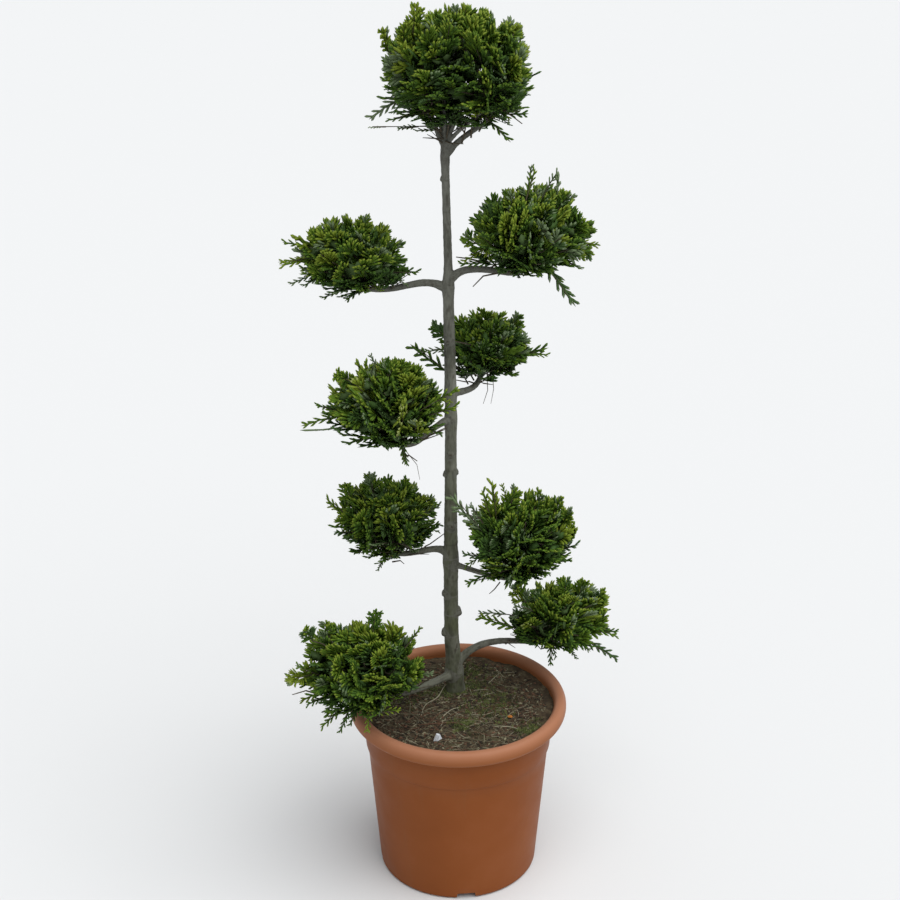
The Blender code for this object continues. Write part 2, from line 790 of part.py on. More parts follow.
def build_ball(name, ball, limbs, material, parent):
    """One mass of foliage: core, stems, twigs and sprays joined into one solid."""
    obj = make_object(name + "_foliage", *core_shell(name, ball), material, parent)
    shells = []
    for foot, heading, radius in feet_of(name):
        line = stem_line(ball, foot, heading)
        shells.append(tube(line, [radius * (1.0 - 0.12 * k) for k in range(len(line))], STEM_SIDES))
    for source, root, tip, face, outline in shoots_of(name, ball):
        points, faces = (frond if source else clipped_spray)(root, tip, face, outline)
        checked = [tip.lerp(root, t / 6) for t in range(6)] + points
        if source:
            checked += [source.lerp(root, t / 8) for t in range(3, 9)]
        if not all(clear_of_limbs(point, limbs, LIMB_MARGIN) for point in checked):
            continue
        if source:
            shells.append(tube([source, root.lerp(tip, TWIG_SINK)], (TWIG_ROOT, TWIG_TIP), 3))
        shells.append((points, faces))
    fuse(obj, shells)
    return obj


def main():
    clear_scene()
    bark = make_material("bark", BARK, 0.85)
    needles = make_material("needles", FOLIAGE, 0.65)
    plastic = make_material("terracotta_plastic", TERRACOTTA, 0.50)
    earth = make_material("earth", EARTH, 0.95)
    plant = bpy.data.objects.new("potted_cypress", None)
    bpy.context.scene.collection.objects.link(plant)
    build_pot(plastic, plant)
    build_soil(earth, plant)
    build_trunk(bark, plant)
    trunk_cutter = as_helper(make_object("trunk_cutter", *trunk_shell(GAP)))
    for name, bough in BOUGHS.items():
        build_bough(name, bough, trunk_cutter, bark, plant)
    limbs = dense_limbs()
    for name, ball in BALLS.items():
        build_ball(name, ball, limbs, needles, plant)


main()
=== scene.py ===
import json
import math
import random

import bpy
import numpy as np
from mathutils import Matrix, Vector, noise

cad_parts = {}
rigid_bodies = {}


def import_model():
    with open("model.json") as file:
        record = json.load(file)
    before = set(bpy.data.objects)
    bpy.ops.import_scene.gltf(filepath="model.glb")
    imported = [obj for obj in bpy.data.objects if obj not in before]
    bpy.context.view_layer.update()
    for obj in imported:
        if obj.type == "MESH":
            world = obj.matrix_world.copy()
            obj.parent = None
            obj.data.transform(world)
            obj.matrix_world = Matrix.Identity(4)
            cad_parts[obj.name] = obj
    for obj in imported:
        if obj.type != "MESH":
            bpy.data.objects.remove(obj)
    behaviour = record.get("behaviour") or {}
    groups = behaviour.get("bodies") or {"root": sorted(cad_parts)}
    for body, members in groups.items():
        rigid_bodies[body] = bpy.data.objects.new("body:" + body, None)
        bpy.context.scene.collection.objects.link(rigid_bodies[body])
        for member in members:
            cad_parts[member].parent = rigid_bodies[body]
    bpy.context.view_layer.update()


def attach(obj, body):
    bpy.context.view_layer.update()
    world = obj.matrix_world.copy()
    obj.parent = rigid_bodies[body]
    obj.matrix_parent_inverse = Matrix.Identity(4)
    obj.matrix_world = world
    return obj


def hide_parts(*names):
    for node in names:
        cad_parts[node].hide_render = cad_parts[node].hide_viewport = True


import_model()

# A potted cypress with nine clipped balls of foliage. Metres, +Z up, front towards -Y.
up = Vector((0.0, 0.0, 1.0))


def towards(bearing, rise):
    b, r = math.radians(bearing), math.radians(rise)
    return Vector((math.cos(b) * math.cos(r), math.sin(b) * math.cos(r), math.sin(r)))


def bezier(start, startPull, endPull, end, shares):
    line = []
    for t in shares:
        s = 1.0 - t
        line.append(s**3 * start + 3 * s * s * t * startPull + 3 * s * t * t * endPull + t**3 * end)
    return line


def evenShares(count):
    return [k / (count - 1) for k in range(count)]


def randomVector(chance, size=1.0):
    return Vector([chance.uniform(-size, size) for _ in range(3)])


def makeObject(name, points, faces, edges=()):
    mesh = bpy.data.meshes.new(name)
    mesh.from_pydata([tuple(point) for point in points], list(edges), faces)
    mesh.validate()
    obj = bpy.data.objects.new(name, mesh)
    bpy.context.scene.collection.objects.link(obj)
    return obj


def setAttribute(mesh, name, kind, domain, values):
    field = mesh.attributes.new(name, kind, domain)
    key = "vector" if kind == "FLOAT_VECTOR" else "value"
    field.data.foreach_set(key, np.asarray(values, float if kind != "INT" else int).ravel())


def applyModifiers(obj):
    graph = bpy.context.evaluated_depsgraph_get()
    made = bpy.data.meshes.new_from_object(obj.evaluated_get(graph))
    made.name = obj.name
    obj.modifiers.clear()
    spare = obj.data
    obj.data = made
    bpy.data.meshes.remove(spare)
    for name in ("heading", "facing", "size", "tone", "hue", "kind", "tipness", "girth"):
        if name in made.attributes:
            made.attributes.remove(made.attributes[name])
    return obj


def finishPiece(obj, slotName, *nodes):
    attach(obj, "root")
    if nodes:
        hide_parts(*nodes)
    obj.data.calc_loop_triangles()
    print(f"{obj.name}: {len(obj.data.loop_triangles)} triangles")


# Adds a node. Sockets are given by identifier, as a value or as another node's output.
def addNode(tree, kind, sockets=None, **settings):
    node = tree.nodes.new(kind)
    for key, value in settings.items():
        setattr(node, key, value)
    for key, value in (sockets or {}).items():
        socket = next(s for s in node.inputs if s.identifier == key)
        if isinstance(value, bpy.types.NodeSocket):
            tree.links.new(value, socket)
        else:
            socket.default_value = value
    return node


def outOf(node, identifier):
    return next(s for s in node.outputs if s.identifier == identifier)


def newMaterial(name):
    material = bpy.data.materials.new(name)
    material.use_nodes = True
    tree = material.node_tree
    return material, tree, tree.nodes["Principled BSDF"]


def plainMaterial(name, colour, roughness, specular=0.5):
    material, tree, shader = newMaterial(name)
    shader.inputs["Base Color"].default_value = (*colour, 1.0)
    shader.inputs["Roughness"].default_value = roughness
    shader.inputs["Specular IOR Level"].default_value = specular
    material.diffuse_color = (*colour, 1.0)
    return material


def noiseOf(tree, place, scale, detail=3.0, rough=0.55, stretch=None):
    if stretch:
        place = addNode(tree, "ShaderNodeMapping", {"Vector": place, "Scale": stretch}).outputs["Vector"]
    node = addNode(tree, "ShaderNodeTexNoise", {"Vector": place, "Scale": scale, "Detail": detail, "Roughness": rough})
    return outOf(node, "Fac")


def rampOf(tree, value, stops):
    node = addNode(tree, "ShaderNodeValToRGB", {"Fac": value})
    ramp = node.color_ramp
    while len(ramp.elements) < len(stops):
        ramp.elements.new(0.5)
    for element, (place, colour) in zip(ramp.elements, stops):
        element.position = place
        element.color = (*colour, 1.0) if not isinstance(colour, float) else (colour, colour, colour, 1.0)
    return outOf(node, "Color")


def mixOf(tree, share, one, other, how="MIX"):
    node = addNode(tree, "ShaderNodeMix", {"Factor_Float": share}, data_type="RGBA", blend_type=how)
    for key, value in (("A_Color", one), ("B_Color", other)):
        socket = next(s for s in node.inputs if s.identifier == key)
        if isinstance(value, bpy.types.NodeSocket):
            tree.links.new(value, socket)
        else:
            socket.default_value = (*value, 1.0)
    return outOf(node, "Result_Color")


def spanOf(tree, value, low, high, first=0.0, last=1.0):
    sockets = {"Value": value, "From Min": low, "From Max": high, "To Min": first, "To Max": last}
    return outOf(addNode(tree, "ShaderNodeMapRange", sockets), "Result")


def bumpOf(tree, shader, layers):
    normal = None
    for height, distance, strength in layers:
        node = addNode(tree, "ShaderNodeBump", {"Height": height, "Distance": distance, "Strength": strength})
        if normal:
            tree.links.new(normal, node.inputs["Normal"])
        normal = node.outputs["Normal"]
    tree.links.new(normal, shader.inputs["Normal"])


def objectPlace(tree):
    return addNode(tree, "ShaderNodeTexCoord").outputs["Object"]


plasticLook = {
    "deep": (0.204, 0.057, 0.013),
    "middle": (0.221, 0.063, 0.015),
    "pale": (0.240, 0.074, 0.022),
    "dust": (0.180, 0.088, 0.040),
    "rimLit": (0.275, 0.094, 0.032),
    "rimLitFrom": 0.298,
    "rimLitTo": 0.304,
    "rimSheen": (0.338, 0.152, 0.086),
    "rimSheenFrom": 0.312,
    "rimSheenTo": 0.329,
}


def makePlastic():
    material, tree, shader = newMaterial("terracottaPlastic")
    place = objectPlace(tree)
    cloud = noiseOf(tree, place, 7.0, 4.0)
    colour = rampOf(tree, cloud, [(0.30, plasticLook["deep"]), (0.50, plasticLook["middle"]), (0.72, plasticLook["pale"])])
    speck = noiseOf(tree, place, 420.0, 2.0)
    colour = mixOf(tree, spanOf(tree, speck, 0.30, 0.70, 0.0, 0.16), colour, plasticLook["deep"])
    streak = noiseOf(tree, place, 5.0, 5.0, 0.6, (6.0, 6.0, 0.7))
    colour = mixOf(tree, spanOf(tree, streak, 0.56, 0.80, 0.0, 0.22), colour, plasticLook["dust"])
    height = outOf(addNode(tree, "ShaderNodeSeparateXYZ", {"Vector": place}), "Z")  # from its lower edge up, the rim and all above it are painted lighter and more orange: painted light
    colour = mixOf(tree, spanOf(tree, height, plasticLook["rimLitFrom"], plasticLook["rimLitTo"]), colour, plasticLook["rimLit"])
    # the top of the rim is painted paler in patches: a painted sheen standing for the sky's reflection on the roll
    sheenPatches = spanOf(tree, noiseOf(tree, place, 16.0, 4.0), 0.30, 0.66, 0.78, 1.0)
    rim = addNode(
        tree,
        "ShaderNodeMath",
        {"Value": spanOf(tree, height, plasticLook["rimSheenFrom"], plasticLook["rimSheenTo"]), "Value_001": sheenPatches},
        operation="MULTIPLY",
    )
    colour = mixOf(tree, outOf(rim, "Value"), colour, plasticLook["rimSheen"])
    tree.links.new(colour, shader.inputs["Base Color"])
    tree.links.new(spanOf(tree, noiseOf(tree, place, 24.0, 4.0), 0.3, 0.7, 0.40, 0.52), shader.inputs["Roughness"])
    shader.inputs["Specular IOR Level"].default_value = 0.10
    bumpOf(tree, shader, [(noiseOf(tree, place, 11.0, 2.0), 0.0012, 0.25), (speck, 0.00018, 0.35)])
    return material


barkLook = {
    "fissure": (0.034, 0.033, 0.023),
    "low": (0.088, 0.093, 0.057),
    "high": (0.126, 0.126, 0.109),
    "moss": (0.078, 0.088, 0.038),
    "dark": (0.042, 0.043, 0.030),
    "limb": (0.110, 0.111, 0.092),
    "limbLow": (0.156, 0.153, 0.130),
    "scar": (0.034, 0.025, 0.016),
    "pale": (0.214, 0.212, 0.180),
    "ring": (0.058, 0.052, 0.036),
}


def makeBark():
    material, tree, shader = newMaterial("bark")
    place = objectPlace(tree)
    height = outOf(addNode(tree, "ShaderNodeSeparateXYZ", {"Vector": place}), "Z")
    limb = outOf(addNode(tree, "ShaderNodeAttribute", attribute_name="limb"), "Fac")
    crack = outOf(addNode(tree, "ShaderNodeAttribute", attribute_name="crack"), "Fac")
    colour = mixOf(tree, spanOf(tree, height, 0.62, 1.24), barkLook["low"], barkLook["high"])
    patch = noiseOf(tree, place, 28.0, 5.0, 0.62, (1.0, 1.0, 0.45))
    colour = mixOf(tree, spanOf(tree, patch, 0.38, 0.68, 0.0, 0.66), colour, barkLook["pale"])
    blotch = noiseOf(tree, place, 48.0, 4.0, 0.60, (1.0, 1.0, 0.34))
    colour = mixOf(tree, spanOf(tree, blotch, 0.50, 0.64, 0.0, 0.64), colour, barkLook["dark"])
    ring = noiseOf(tree, place, 26.0, 4.0, 0.62, (0.35, 0.35, 3.2))
    colour = mixOf(tree, spanOf(tree, ring, 0.58, 0.70, 0.0, 0.50), colour, barkLook["ring"])
    damp = noiseOf(tree, place, 21.0, 3.0, 0.55, (1.0, 1.0, 0.6))
    low = spanOf(tree, height, 0.95, 0.32)
    wet = addNode(tree, "ShaderNodeMath", {"Value": spanOf(tree, damp, 0.42, 0.62), "Value_001": low}, operation="MULTIPLY")
    colour = mixOf(tree, outOf(wet, "Value"), colour, barkLook["moss"])
    limbColour = mixOf(tree, spanOf(tree, height, 0.46, 0.80), barkLook["limbLow"], barkLook["limb"])
    colour = mixOf(tree, spanOf(tree, limb, 0.0, 1.0, 0.0, 0.80), colour, limbColour)
    thread = noiseOf(tree, place, 150.0, 4.0, 0.6, (1.0, 1.0, 0.22))
    colour = mixOf(tree, spanOf(tree, thread, 0.50, 0.74, 0.0, 0.62), colour, barkLook["fissure"])
    colour = mixOf(tree, crack, colour, barkLook["scar"])
    tree.links.new(colour, shader.inputs["Base Color"])
    shader.inputs["Roughness"].default_value = 0.78
    shader.inputs["Specular IOR Level"].default_value = 0.35
    grain = noiseOf(tree, place, 420.0, 3.0, 0.6, (1.0, 1.0, 0.35))
    bumpOf(tree, shader, [(thread, 0.0010, 0.6), (grain, 0.0004, 0.5)])
    return material


earthLook = {
    "dark": (0.018, 0.014, 0.009),
    "brown": (0.066, 0.045, 0.025),
    "grey": (0.128, 0.115, 0.068),
    "algae": (0.080, 0.080, 0.034),
    "peat": (0.030, 0.021, 0.013),
}


def makeEarth():
    material, tree, shader = newMaterial("earth")
    place = objectPlace(tree)
    clod = noiseOf(tree, place, 95.0, 6.0, 0.68)
    colour = rampOf(tree, clod, [(0.30, earthLook["dark"]), (0.52, earthLook["brown"]), (0.74, earthLook["grey"])])
    shade = noiseOf(tree, place, 34.0, 4.0)
    colour = mixOf(tree, spanOf(tree, shade, 0.50, 0.62, 0.0, 0.60), colour, earthLook["peat"])
    damp = noiseOf(tree, place, 15.0, 3.0)
    colour = mixOf(tree, spanOf(tree, damp, 0.50, 0.66, 0.0, 0.55), colour, earthLook["algae"])
    tree.links.new(colour, shader.inputs["Base Color"])
    shader.inputs["Roughness"].default_value = 0.93
    shader.inputs["Specular IOR Level"].default_value = 0.25
    bumpOf(tree, shader, [(clod, 0.004, 0.7), (noiseOf(tree, place, 480.0, 3.0), 0.001, 0.6)])
    return material


view = {
    "place": (0.0, -2.60, 1.93),
    "pitch": 66.5,
    "lens": 68.88,
    "shift": -8.0 / 900.0,
    "sky": 0.56,
    "lightPower": 3.1,
    "lightSpread": 68.0,
    "lightRun": (-0.35, 0.32, -1.0),
    "floor": 0.64,
}


def setStage():
    scene = bpy.context.scene
    cameraData = bpy.data.cameras.new("camera")
    cameraData.lens = view["lens"]
    cameraData.sensor_width = 36.0
    cameraData.shift_x = view["shift"]
    camera = bpy.data.objects.new("camera", cameraData)
    camera.location = view["place"]
    camera.rotation_euler = (math.radians(view["pitch"]), 0.0, 0.0)
    scene.collection.objects.link(camera)
    scene.camera = camera
    scene.view_settings.view_transform = "Standard"

    world = bpy.data.worlds.new("paleSky")
    world.use_nodes = True
    world.node_tree.nodes["Background"].inputs["Color"].default_value = (0.93, 0.97, 1.0, 1.0)
    world.node_tree.nodes["Background"].inputs["Strength"].default_value = view["sky"]
    scene.world = world

    lamp = bpy.data.lights.new("softLight", "SUN")
    lamp.energy = view["lightPower"]
    lamp.angle = math.radians(view["lightSpread"])
    light = bpy.data.objects.new("softLight", lamp)
    light.location = (1.0, -1.0, 3.0)
    light.rotation_euler = Vector(view["lightRun"]).to_track_quat("-Z", "Y").to_euler()
    scene.collection.objects.link(light)

    half = 40.0
    floor = makeObject("floor", [(-half, -half, 0.0), (half, -half, 0.0), (half, half, 0.0), (-half, half, 0.0)], [(0, 1, 2, 3)])
    floor.data.materials.append(plainMaterial("paleFloor", (view["floor"],) * 3, 0.9, 0.1))


setStage()
print("stage set")


pot = {
    "segments": 160,
    "height": 0.3300,
    "wall": 0.003,
    "baseRadius": 0.1395,
    "flare": 0.082,
    "stepHeight": 0.243,
    "stepOut": 0.0030,
    "stepRound": 0.0016,
    "rimRadius": 0.190,
    "rimWidth": 0.022,
    "rimDepth": 0.0280,
    "rimPoints": 34,
    "rimSquareness": 2.25,
    "innerTop": 0.298,
    "hub": 0.070,
    "foot": 0.122,
    "footRound": 0.007,
    "channel": 0.012,
    "channelSide": 0.004,
    "notches": 4,
    "notchBearing": -84.0,
    "notchWidth": 0.034,
    "notchTop": 0.028,
    "drain": 0.006,
    "drainRing": 0.098,
}


def wallRadius(height):
    return pot["baseRadius"] + pot["flare"] * height


# Turns a profile of (radius, height) round +Z. Its two ends lie on the axis.
def turned(profile, segments, lift=None):
    points, faces, rings = [], [], []
    for radius, height in profile:
        if radius == 0.0:
            rings.append([len(points)])
            points.append(Vector((0.0, 0.0, height)))
            continue
        rings.append(list(range(len(points), len(points) + segments)))
        for k in range(segments):
            angle = 2.0 * math.pi * k / segments
            points.append(Vector((radius * math.cos(angle), radius * math.sin(angle), height)))
    if lift:
        points = [lift(point) for point in points]
    for low, high in zip(rings, rings[1:]):
        for k in range(segments):
            after = (k + 1) % segments
            if len(low) == 1:
                faces.append((low[0], high[after], high[k]))
            elif len(high) == 1:
                faces.append((low[k], low[after], high[0]))
            else:
                faces.append((low[k], low[after], high[after], high[k]))
    return points, faces


def rimSection():
    middle = pot["rimRadius"] - pot["rimWidth"] / 2
    level = pot["height"] - pot["rimDepth"] / 2
    power = 2.0 / pot["rimSquareness"]
    section = []
    for k in range(pot["rimPoints"]):
        angle = math.radians(-118.0 + 316.0 * k / (pot["rimPoints"] - 1))
        c, s = math.cos(angle), math.sin(angle)
        across = pot["rimWidth"] / 2 * math.copysign(abs(c) ** power, c)
        section.append((middle + across, level + pot["rimDepth"] / 2 * math.copysign(abs(s) ** power, s)))
    return section


def innerLine(offset):
    floor = pot["channel"] + pot["wall"]
    wall = pot["wall"] + offset
    return [
        (wallRadius(pot["innerTop"]) + pot["stepOut"] - wall, pot["innerTop"]),
        (wallRadius(pot["stepHeight"]) - wall, pot["stepHeight"]),
        (wallRadius(floor) - wall, floor + offset),
        (pot["hub"] + pot["channelSide"] - wall, floor + offset),
        (pot["hub"] - wall, wall),
        (0.0, wall),
    ]


def potOutside():
    channel, side, rounding = pot["channel"], pot["channelSide"], pot["footRound"]
    line = [
        (0.0, 0.0),
        (pot["hub"], 0.0),
        (pot["hub"] + side, channel),
        (pot["foot"] - side, channel),
        (pot["foot"], 0.0),
        (pot["baseRadius"] - rounding, 0.0),
    ]
    for k in range(1, 8):  # the rounded bottom edge
        angle = math.pi / 2 * k / 7
        line.append((wallRadius(rounding) - rounding + rounding * math.sin(angle), rounding * (1 - math.cos(angle))))
    step, out, soft = pot["stepHeight"], pot["stepOut"], pot["stepRound"]
    for k in range(1, 12):
        height = rounding + (step - soft - rounding) * k / 11
        line.append((wallRadius(height), height))
    for k in range(1, 7):  # the shallow step
        t = k / 6
        height = step - soft + 2 * soft * t
        line.append((wallRadius(height) + out * t * t * (3 - 2 * t), height))
    top = pot["height"] - pot["rimDepth"]
    for k in range(1, 4):
        height = step + soft + (top - 0.003 - step - soft) * k / 3
        line.append((wallRadius(height) + out, height))
    edge = rimSection()[0]
    for k in range(1, 5):  # the fillet under the rim
        angle = math.pi / 2 * k / 4
        line.append((wallRadius(top) + out + 0.003 * (1 - math.cos(angle)), top - 0.0015 + 0.003 * math.sin(angle)))
    return [point for point in line if point[0] < edge[0] or point[1] < top]


def closedRings(rings):
    points = [point for ring in rings for point in ring]
    sides = len(rings[0])
    faces = [tuple(reversed(range(sides)))]
    for low in range(len(rings) - 1):
        for k in range(sides):
            after = (k + 1) % sides
            a, b = low * sides, (low + 1) * sides
            faces.append((a + k, a + after, b + after, b + k))
    last = (len(rings) - 1) * sides
    faces.append(tuple(range(last, last + sides)))
    return points, faces


def addShell(points, faces, shell):
    first = len(points)
    points.extend(shell[0])
    faces.extend(tuple(first + k for k in face) for face in shell[1])


def potCutter():
    points, faces = [], []
    for k in range(pot["notches"]):
        bearing = pot["notchBearing"] + 360.0 * k / pot["notches"]
        turn = Matrix.Rotation(math.radians(bearing), 3, "Z")
        right = [(pot["notchWidth"] / 2, -0.012), (pot["notchWidth"] / 2, 0.0)]
        for step in range(4):  # a small rounding in the notch's upper corners
            angle = math.pi / 2 * step / 3
            across = pot["notchTop"] / 2 - 0.002 * (1 - math.cos(angle)) + 0.0006 * (3 - step)
            right.append((across, pot["channel"] - 0.002 + 0.002 * math.sin(angle)))
        section = right + [(-y, z) for y, z in reversed(right)]
        rings = [[turn @ Vector((x, y, z)) for y, z in section] for x in (pot["foot"] - 0.008, pot["baseRadius"] + 0.012)]
        addShell(points, faces, closedRings(rings))
        drain = towards(bearing + 180.0 / pot["notches"], 0.0) * pot["drainRing"]
        rings = []
        for z in (0.0, pot["channel"] + 2 * pot["wall"]):
            rings.append([drain + towards(360.0 * s / 20, 0.0) * pot["drain"] + up * z for s in range(20)])
        addShell(points, faces, closedRings(rings))
    return makeObject("potCutter", points, faces)


def makePot(material):
    points, faces = turned(potOutside() + rimSection() + innerLine(0.0), pot["segments"])
    obj = makeObject("potShell", points, faces)
    obj.data.materials.append(material)
    cutter = potCutter()
    cut = obj.modifiers.new("notches", "BOOLEAN")
    cut.operation = "DIFFERENCE"
    cut.solver = "EXACT"
    cut.object = cutter
    applyModifiers(obj)
    bpy.data.objects.remove(cutter, do_unlink=True)
    obj.data.shade_smooth()
    obj.data.set_sharp_from_angle(angle=math.radians(32.0))
    finishPiece(obj, "terracotta_plastic", "pot")


makePot(makePlastic())
print("pot made")


soil = {
    "top": 0.305,
    "relief": 0.006,
    "grain": 22.0,
    "levelRadius": 0.060,
    "bank": 0.0060,  # it lies higher against the wall at the back and right
    "bankFrom": 0.118,
    "bankBearing": 42.0,
    "segments": 200,
    "rings": 84,
    "clods": ((70.0, 0.0016), (160.0, 0.0012), (420.0, 0.0006)),
}
trunkStations = (  # height, offset across, offset in depth and radius
    (0.305, -0.0045, 0.0620, 0.0152),
    (0.370, -0.0080, 0.0555, 0.0140),
    (0.430, -0.0115, 0.0510, 0.0128),
    (0.580, -0.0123, 0.0450, 0.0122),
    (0.720, -0.0122, 0.0405, 0.0104),
    (0.880, -0.0122, 0.0350, 0.0098),
    (1.060, -0.0155, 0.0290, 0.0086),
    (1.120, -0.0160, 0.0270, 0.0068),
    (1.335, -0.0215, 0.0200, 0.0064),
)


def soilLevel(x, y):
    away = math.hypot(x - trunkStations[0][1], y - trunkStations[0][2])
    share = min(max((away - soil["levelRadius"]) / soil["levelRadius"], 0.0), 1.0)
    height = soil["top"] + soil["relief"] * share * noise.noise(Vector((x, y, 0.0)) * soil["grain"])
    bank = min(max((math.hypot(x, y) - soil["bankFrom"]) / (0.166 - soil["bankFrom"]), 0.0), 1.0)
    facing = 0.5 + 0.5 * math.cos(math.atan2(y, x) - math.radians(soil["bankBearing"]))
    height += soil["bank"] * bank * bank * (3.0 - 2.0 * bank) * facing
    for grain, size in soil["clods"]:
        height += size * noise.noise(Vector((x, y, 0.4)) * grain)
    return height


def makeSoil(material):
    edge = wallRadius(pot["innerTop"]) + pot["stepOut"] - pot["wall"] - 0.0002
    rings = [(edge * (1.0 - k / soil["rings"]), soil["top"]) for k in range(soil["rings"] + 1)]
    side = [(r, z) for r, z in reversed(innerLine(0.0003))]
    base = turned(side + rings[:-1] + [(0.0, soil["top"])], soil["segments"])
    points = []
    for point in base[0]:
        if point.z > soil["top"] - 0.0001:
            level = soilLevel(point.x, point.y)
            if math.hypot(point.x, point.y) > edge - 0.0001:  # the wall leans out towards the rim
                level = min(level, 0.3118)
                point = point * (1.0 + (level - pot["innerTop"]) * 0.40 / edge)
            point = Vector((point.x, point.y, level))
        points.append(point)
    obj = makeObject("soilBody", points, base[1])
    obj.data.materials.append(material)
    obj.data.shade_smooth()
    obj.data.set_sharp_from_angle(angle=math.radians(60.0))
    finishPiece(obj, "earth", "soil")


makeSoil(makeEarth())
print("soil made")


# A tree that puts a template on each point, picks one of its variants, joins them all,
# and deals out the plain materials by each one's tone and how near a face is to a tip.
def instanceTree(name, shades, hueAndSheenShades=()):
    tree = bpy.data.node_groups.new(name, "GeometryNodeTree")
    face = tree.interface
    face.new_socket("Geometry", in_out="INPUT", socket_type="NodeSocketGeometry")
    kinds = (
        ("Templates", "NodeSocketCollection", None),
        ("Variants", "NodeSocketInt", 1),
        ("Seed", "NodeSocketInt", 1),
        ("Size", "NodeSocketFloat", 1.0),
        ("Tip lightness", "NodeSocketFloat", 0.0),
    )
    ids = {}
    for label, kind, value in kinds:
        socket = face.new_socket(label, in_out="INPUT", socket_type=kind)
        if value is not None:
            socket.default_value = value
        ids[label] = socket.identifier
    face.new_socket("Geometry", in_out="OUTPUT", socket_type="NodeSocketGeometry")
    entry = addNode(tree, "NodeGroupInput")
    leave = addNode(tree, "NodeGroupOutput")

    def named(label, kind):
        return addNode(tree, "GeometryNodeInputNamedAttribute", {"Name": label}, data_type=kind).outputs["Attribute"]

    def maths(one, other, how):
        return outOf(addNode(tree, "ShaderNodeMath", {"Value": one, "Value_001": other}, operation=how), "Value")

    parts = addNode(tree, "GeometryNodeCollectionInfo", {"Collection": entry.outputs["Templates"], "Separate Children": True, "Reset Children": True})
    last = maths(entry.outputs["Variants"], 1.0, "SUBTRACT")
    pick = addNode(tree, "FunctionNodeRandomValue", {"Min_002": 0, "Max_002": last, "Seed": entry.outputs["Seed"]}, data_type="INT")
    first = maths(named("kind", "INT"), entry.outputs["Variants"], "MULTIPLY")
    index = maths(first, outOf(pick, "Value_002"), "ADD")
    turn = addNode(
        tree,
        "FunctionNodeAxesToRotation",
        {"Primary Axis": named("heading", "FLOAT_VECTOR"), "Secondary Axis": named("facing", "FLOAT_VECTOR")},
        primary_axis="X",
        secondary_axis="Z",
    )
    placed = addNode(
        tree,
        "GeometryNodeInstanceOnPoints",
        {
            "Points": entry.outputs["Geometry"],
            "Instance": parts.outputs["Instances"],
            "Pick Instance": True,
            "Instance Index": index,
            "Rotation": turn.outputs["Rotation"],
            "Scale": maths(named("size", "FLOAT"), entry.outputs["Size"], "MULTIPLY"),
        },
    )
    flow = addNode(tree, "GeometryNodeRealizeInstances", {"Geometry": placed.outputs["Instances"]}).outputs["Geometry"]
    tips = maths(named("tipness", "FLOAT"), entry.outputs["Tip lightness"], "MULTIPLY")
    value = maths(named("tone", "FLOAT"), tips, "ADD")
    hued = maths(value, named("hue", "FLOAT"), "MULTIPLY")
    for field, levels in ((value, shades), (hued, hueAndSheenShades)):
        for level, material in levels:
            above = addNode(tree, "FunctionNodeCompare", {"A": field, "B": level}, operation="GREATER_THAN", data_type="FLOAT")
            flow = addNode(
                tree,
                "GeometryNodeSetMaterial",
                {"Geometry": flow, "Selection": above.outputs["Result"], "Material": material},
            ).outputs["Geometry"]
    tree.links.new(flow, leave.inputs["Geometry"])
    return tree, ids


# A tree that turns lines with a girth at each point into closed tubes.
def tubeTree(name):
    tree = bpy.data.node_groups.new(name, "GeometryNodeTree")
    face = tree.interface
    face.new_socket("Geometry", in_out="INPUT", socket_type="NodeSocketGeometry")
    ids = {}
    for label, kind, value in (("Sides", "NodeSocketInt", 5), ("Girth", "NodeSocketFloat", 1.0), ("Finish", "NodeSocketMaterial", None)):
        socket = face.new_socket(label, in_out="INPUT", socket_type=kind)
        if value is not None:
            socket.default_value = value
        ids[label] = socket.identifier
    face.new_socket("Geometry", in_out="OUTPUT", socket_type="NodeSocketGeometry")
    entry = addNode(tree, "NodeGroupInput")
    leave = addNode(tree, "NodeGroupOutput")
    girth = addNode(tree, "GeometryNodeInputNamedAttribute", {"Name": "girth"}, data_type="FLOAT")
    scaled = addNode(tree, "ShaderNodeMath", {"Value": girth.outputs["Attribute"], "Value_001": entry.outputs["Girth"]}, operation="MULTIPLY")
    lines = addNode(tree, "GeometryNodeMeshToCurve", {"Mesh": entry.outputs["Geometry"]})
    ring = addNode(tree, "GeometryNodeCurvePrimitiveCircle", {"Resolution": entry.outputs["Sides"], "Radius": 1.0})
    tubes = addNode(
        tree,
        "GeometryNodeCurveToMesh",
        {"Curve": lines.outputs["Curve"], "Profile Curve": ring.outputs["Curve"], "Scale": outOf(scaled, "Value"), "Fill Caps": True},
    )
    real = addNode(tree, "GeometryNodeRealizeInstances", {"Geometry": tubes.outputs["Mesh"]})
    done = addNode(tree, "GeometryNodeSetMaterial", {"Geometry": real.outputs["Geometry"], "Material": entry.outputs["Finish"]})
    tree.links.new(done.outputs["Geometry"], leave.inputs["Geometry"])
    return tree, ids


def runTree(obj, made, values):
    tree, ids = made
    modifier = obj.modifiers.new(tree.name, "NODES")
    modifier.node_group = tree
    for label, value in values.items():
        modifier[ids[label]] = value
    return applyModifiers(obj)


def linesObject(name, lines):
    points, edges, girths = [], [], []
    for line, radii in lines:
        first = len(points)
        points.extend(line)
        girths.extend(radii)
        edges.extend((first + k, first + k + 1) for k in range(len(line) - 1))
    obj = makeObject(name, points, [], edges)
    setAttribute(obj.data, "girth", "FLOAT", "POINT", girths)
    return obj


# Each seat is (place, heading, facing, size, tone, hue, kind).
def seatsObject(name, seats):
    obj = makeObject(name, [seat[0] for seat in seats], [])
    for column, (label, kind) in enumerate(
        (("heading", "FLOAT_VECTOR"), ("facing", "FLOAT_VECTOR"), ("size", "FLOAT"), ("tone", "FLOAT"), ("hue", "FLOAT"), ("kind", "INT"))
    ):
        setAttribute(obj.data, label, kind, "POINT", [list(seat[column + 1]) if kind == "FLOAT_VECTOR" else seat[column + 1] for seat in seats])
    return obj


